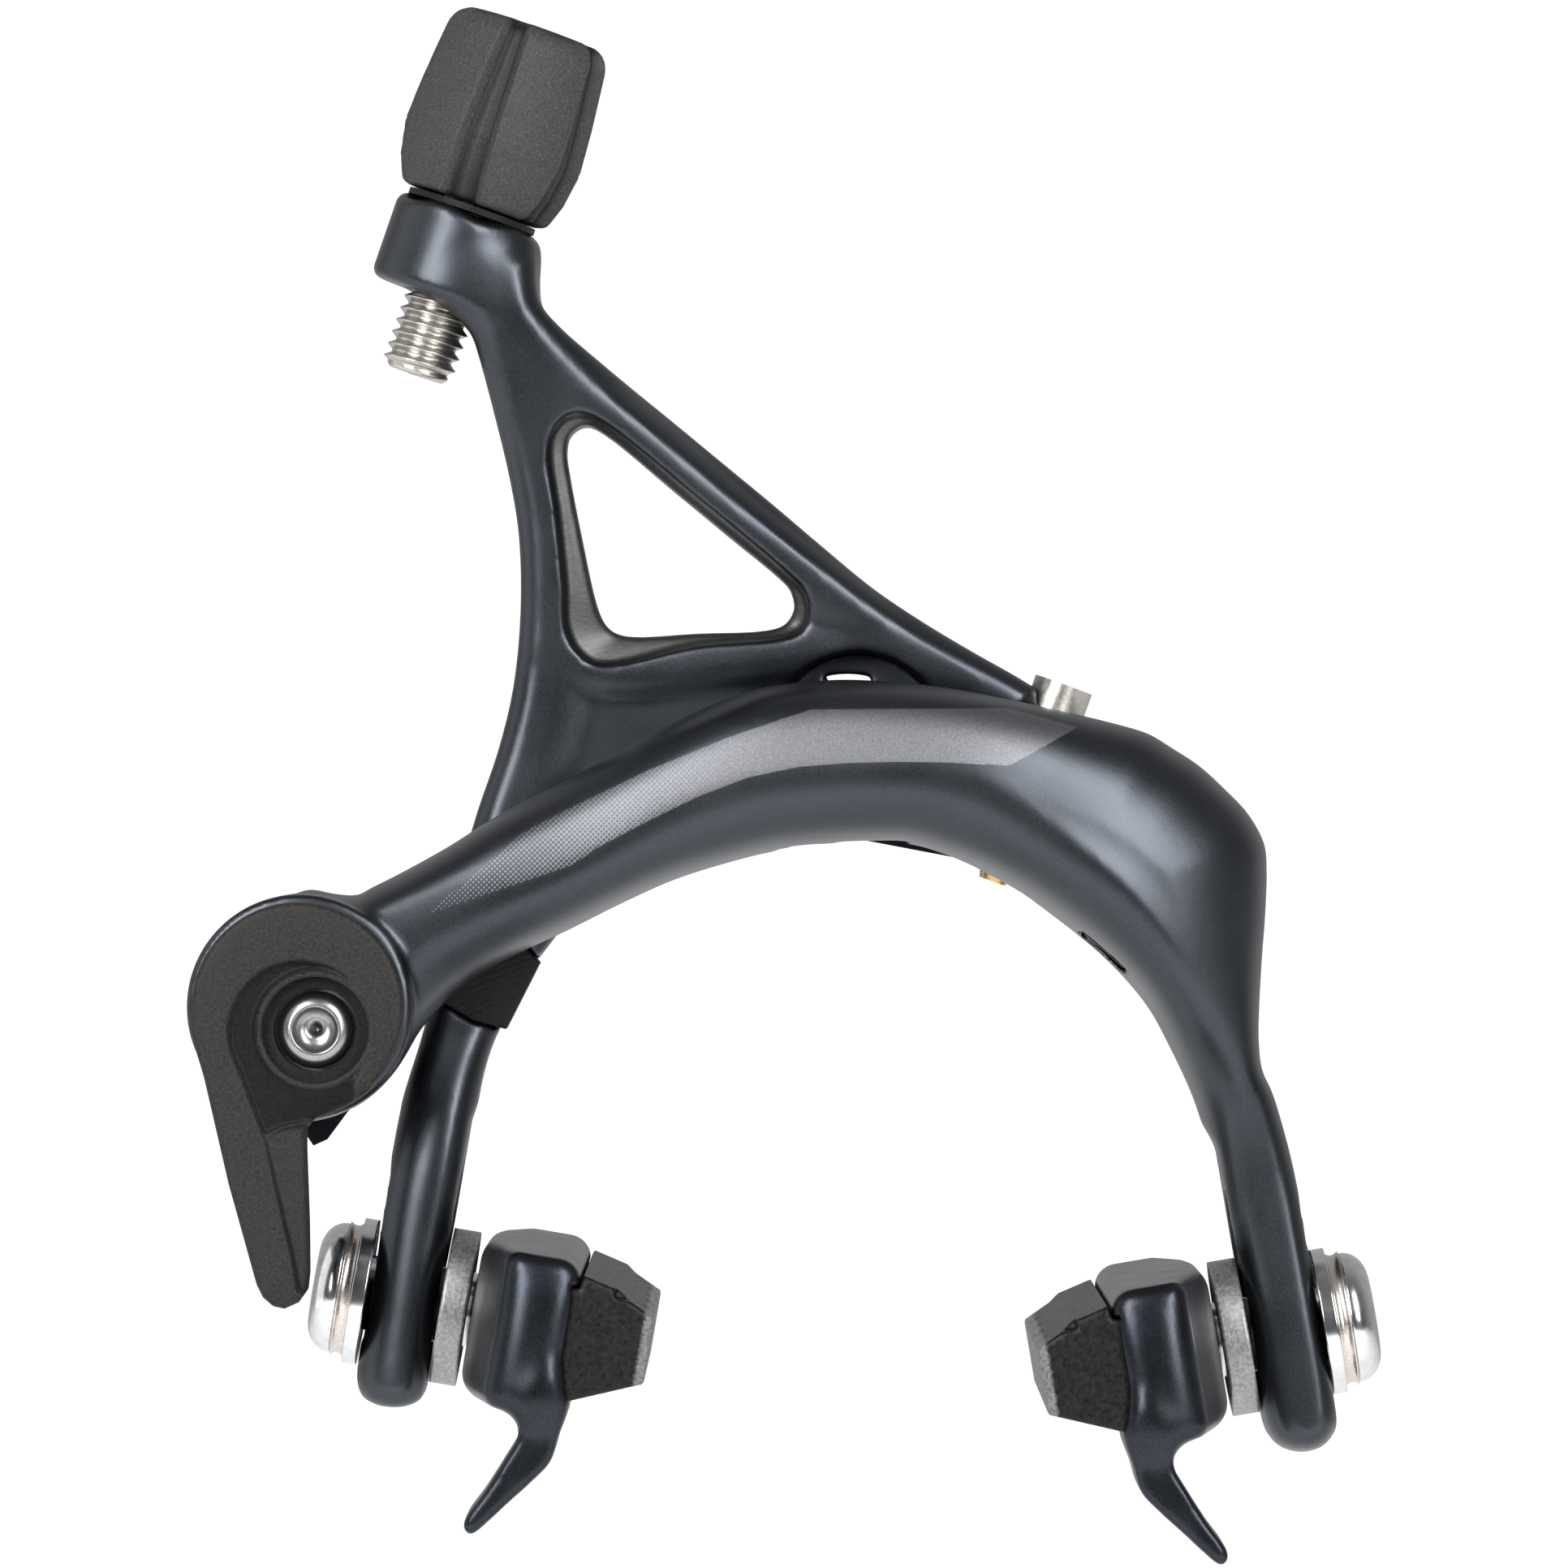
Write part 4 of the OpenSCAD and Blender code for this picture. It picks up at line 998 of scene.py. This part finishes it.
SPRING = finish("drawn_spring_steel", (0.25, 0.25, 0.26), (0.38, 0.38, 0.39), 1.0,
                (0.24, 0.4), 5.0, 0.006, (1, 4, 1))
BLACK = finish("black_moulding", (0.004, 0.004, 0.0045), (0.012, 0.0115, 0.0115), 0.0,
               (0.4, 0.6), 4.0, 0.03, gloss=0.12)

SLOT_LOOKS = {
    "arm_metal": ARM, "shoe_metal": SHOE, "chrome": CHROME, "warm_steel": WARM,
    "threaded_steel": THREADED, "blasted_aluminium": BLASTED, "bronze": BRONZE, "spring_steel": SPRING,
    "black_plastic": BLACK, "knob_plastic": KNOB, "lever_plastic": LEVER, "pad_rubber": RUBBER,
}

# ---------- pieces ----------

# Stands for a distance to an outline where the outline doesn't apply
FAR = 9.0
BEVEL = 0.12


def attribute(obj, name, values):
    """One number for each vertex, for a material to read."""
    layer = obj.data.attributes.new(name, "FLOAT", "POINT")
    layer.data.foreach_set("value", np.asarray(values, np.float32))


def soften(obj, repeats):
    """Evens out the small unevenness of a mesh made on a grid."""
    smooth = obj.modifiers.new("soften", "SMOOTH")
    smooth.factor = 0.5
    smooth.iterations = repeats


def dress_nodes():
    """Gives the CAD nodes that stay their material and a small rounded edge."""
    for part in frame["record"]["subparts"]:
        look = SLOT_LOOKS[part["material_slot"]]
        obj = frame["nodes"][part["node"]]
        for place in obj.material_slots:
            place.material = look
        if not obj.material_slots:
            obj.data.materials.append(look)
        bevel = obj.modifiers.new("edges", "BEVEL")
        bevel.width = BEVEL * MM
        bevel.segments = 2
        bevel.limit_method = "ANGLE"
        bevel.angle_limit = radians(35)


def front_arm():
    mesh = surface(front_arm_field, (-53.4, -30.6, -56.2), (40.4, -6.6, 7.8), 0.38)
    arm = piece("front_arm_forging", mesh, "front_arm", ARM, "front_arm")
    x, y, z = mesh[0].T
    attribute(arm, "band", np.where(y < -22, region(BAND, x, z), FAR))
    attribute(arm, "fade", np.interp(x, [-34, -26, -16, -7], [0.12, 0.4, 0.7, 1.0]))
    attribute(arm, "ledge", np.full(len(x), FAR))
    soften(arm, 4)


def rear_arm():
    mesh = surface(rear_arm_field, (-40.6, -22.4, -52.2), (19.6, -6.6, 46.6), 0.3)
    arm = piece("rear_arm_forging", mesh, "rear_arm", ARM, "rear_arm")
    x, y, z = mesh[0].T
    attribute(arm, "band", np.full(len(x), FAR))
    attribute(arm, "fade", np.zeros(len(x)))
    attribute(arm, "ledge", np.where(y < -12, region(LEDGE, x, z), FAR))
    soften(arm, 4)


def adjuster():
    mesh = knob()
    body = piece("knob_body", out_of(mesh, ADJUSTER, LEAN), "adjuster_knob", KNOB,
                 "adjuster_knob")
    x, y, z = mesh[0].T
    # painted shade: how far each vertex lies sunk in a groove or hollow, for the knob's painted groove
    # shade
    attribute(body, "painted_groove_shade", ramp(knob_wall(z) * 0.93 - np.hypot(x, y), 0, 0.5))
    piece("threaded_stud", out_of(stud(), ADJUSTER, LEAN), "adjuster_stud", THREADED,
          "adjuster_stud")


def release():
    mesh = surface(lever_field, (-53.4, -34.6, -44.6), (-33.6, -29, -9.8), 0.2)
    lever = piece("lever_moulding", mesh, "release_lever", LEVER, "release_lever")
    # painted shade: share of each vertex on the sunk floor, for the lever's painted floor shade
    attribute(lever, "painted_floor_shade", ramp(lever_floor(mesh[0][:, 0], mesh[0][:, 2]), 0, -0.3))
    guide = surface(guide_field, (-33, -17.8, -22), (-24, -11.4, -13.8), 0.1)
    piece("ribbed_guide", guide, "rear_arm", BLACK, "spring_guide")
    slide = surface(slide_field, (18, -21, -17.4), (23.8, -11.5, -11.4), 0.15)
    piece("spring_slide", slide, "front_arm", BLACK, "spring_insert")
    button = facing(anchor_bolt(), ANCHOR)
    piece("anchor_button", button, "cable_anchor", BUTTON, "anchor_bolt")


def mount():
    bolt = facing(mounting_bolt(), (0, 0))
    piece("threaded_mounting_bolt", bolt, "mount", CHROME, "mounting_bolt")
    piece("spring_wire", spring_wire(), "mount", SPRING, "return_spring")


def shoe(side, holder, pad, bolt, rings):
    """One side's holder, pad, bolt and rings, from meshes in the pad's frame."""
    def put(name, mesh, body, look, node):
        mesh = out_of(mesh, LEGS[side], PAD_TILT, side == "right")
        return piece(side + name, mesh, side + body, look, side + node)

    casting = put("_holder_casting", holder, "_shoe", SHOE, "_shoe_holder")
    soften(casting, 8)
    rubber = put("_pad_block", pad, "_shoe", RUBBER, "_brake_pad")
    attribute(rubber, "rim", ramp(pad[0][:, 0], 18.9, 20.1))
    put("_bolt_dome", bolt, "_pad_bolt", CHROME, "_pad_bolt")
    for name, (ring, look, slot, body) in rings.items():
        put("_" + name + "_ring", to_pad(ring), body, look, "_" + name)


def shoes():
    holder = surface(holder_field, (3.6, -26.6, -17.4), (15.8, 26.6, 7.6), 0.26)
    pad = surface(pad_field, (10, -25.4, -6.2), (21.2, 26.2, 6.4), 0.3)
    bolt = to_pad(pad_bolt())
    rings = {
        "inner_washer": (washer(3.02, 5.85, 2.95, 4.1, 0.2), CHROME, "chrome", "_pad_bolt"),
        "outer_washer": (washer(3.02, 5.4, 4.12, 5.18, 0.15, 0.25), WARM, "warm_steel", "_pad_bolt"),
        "spacer": (washer(3.05, 6.25, -5.2, -3.05, 0.2), BLASTED, "blasted_aluminium", "_shoe"),
    }
    for side in LEGS:
        shoe(side, holder, pad, bolt, rings)


# ---------- camera, light and surroundings ----------

CAMERA = (-5.1, -915, -1.7)
FLOOR = -0.2
LIGHT_DISTANCE = 0.75
# azimuth from the camera's side in degrees, positive to the right; height, width and length in
# metres; watts
SOFTBOXES = {
    "left": (-28, 0.3, 0.24, 0.62, 8.5),
    "right": (32, 0.28, 0.2, 0.6, 7.4),
    "far_left": (-88, 0.12, 0.6, 1.1, 2.2),
}


def softbox(name, azimuth, height, width, length, power):
    """A rectangular light aimed at the object."""
    light = bpy.data.lights.new(name, "AREA")
    light.shape = "RECTANGLE"
    light.size = width
    light.size_y = length
    light.energy = power
    lamp = bpy.data.objects.new(name, light)
    turn = radians(azimuth)
    lamp.location = (LIGHT_DISTANCE * sin(turn), -LIGHT_DISTANCE * cos(turn), height)
    way = Vector((0, 0, 0)) - lamp.location
    lamp.rotation_euler = way.to_track_quat("-Z", "Y").to_euler()
    bpy.context.scene.collection.objects.link(lamp)


def pale_floor():
    corners = [(-1.5, -0.45, FLOOR), (1.5, -0.45, FLOOR), (1.5, 1.05, FLOOR), (-1.5, 1.05, FLOOR)]
    mesh = bpy.data.meshes.new("floor")
    mesh.from_pydata(corners, [], [(0, 1, 2, 3)])
    material, _, shader = new_material("floor")
    shader.inputs["Base Color"].default_value = (0.9, 0.9, 0.9, 1)
    shader.inputs["Roughness"].default_value = 0.9
    shader.inputs["Emission Color"].default_value = (1, 1, 1, 1)
    shader.inputs["Emission Strength"].default_value = 0.45
    mesh.materials.append(material)
    obj = bpy.data.objects.new("floor", mesh)
    bpy.context.scene.collection.objects.link(obj)


def surroundings(scene):
    """White to the camera, and to the object a glow that is dimmer on the camera's side."""
    world = bpy.data.worlds.new("studio")
    scene.world = world
    world.use_nodes = True
    tree = world.node_tree
    way = add(tree, "SeparateXYZ", Vector=add(tree, "TexCoord").outputs["Generated"])
    glow = remap(tree, way.outputs[1], -0.6, 0.4, 0.08, 0.5)
    seen = add(tree, "LightPath").outputs["Is Camera Ray"]
    background = tree.nodes["Background"]
    feed(tree, mix(tree, seen, glow, 1.1), background.inputs["Strength"])
    background.inputs["Color"].default_value = (1, 1, 1, 1)


def photographer(scene):
    camera = bpy.data.cameras.new("camera")
    camera.lens = 258
    camera.sensor_width = 36
    camera.clip_end = 10
    holder = bpy.data.objects.new("camera", camera)
    holder.location = Vector(CAMERA) * MM
    holder.rotation_euler = (pi / 2, 0, 0)
    scene.collection.objects.link(holder)
    scene.camera = holder
    scene.view_settings.view_transform = "Standard"


dress_nodes()
front_arm()
rear_arm()
adjuster()
release()
mount()
shoes()
photographer(bpy.context.scene)
surroundings(bpy.context.scene)
for name, settings in SOFTBOXES.items():
    softbox(name, *settings)
pale_floor()
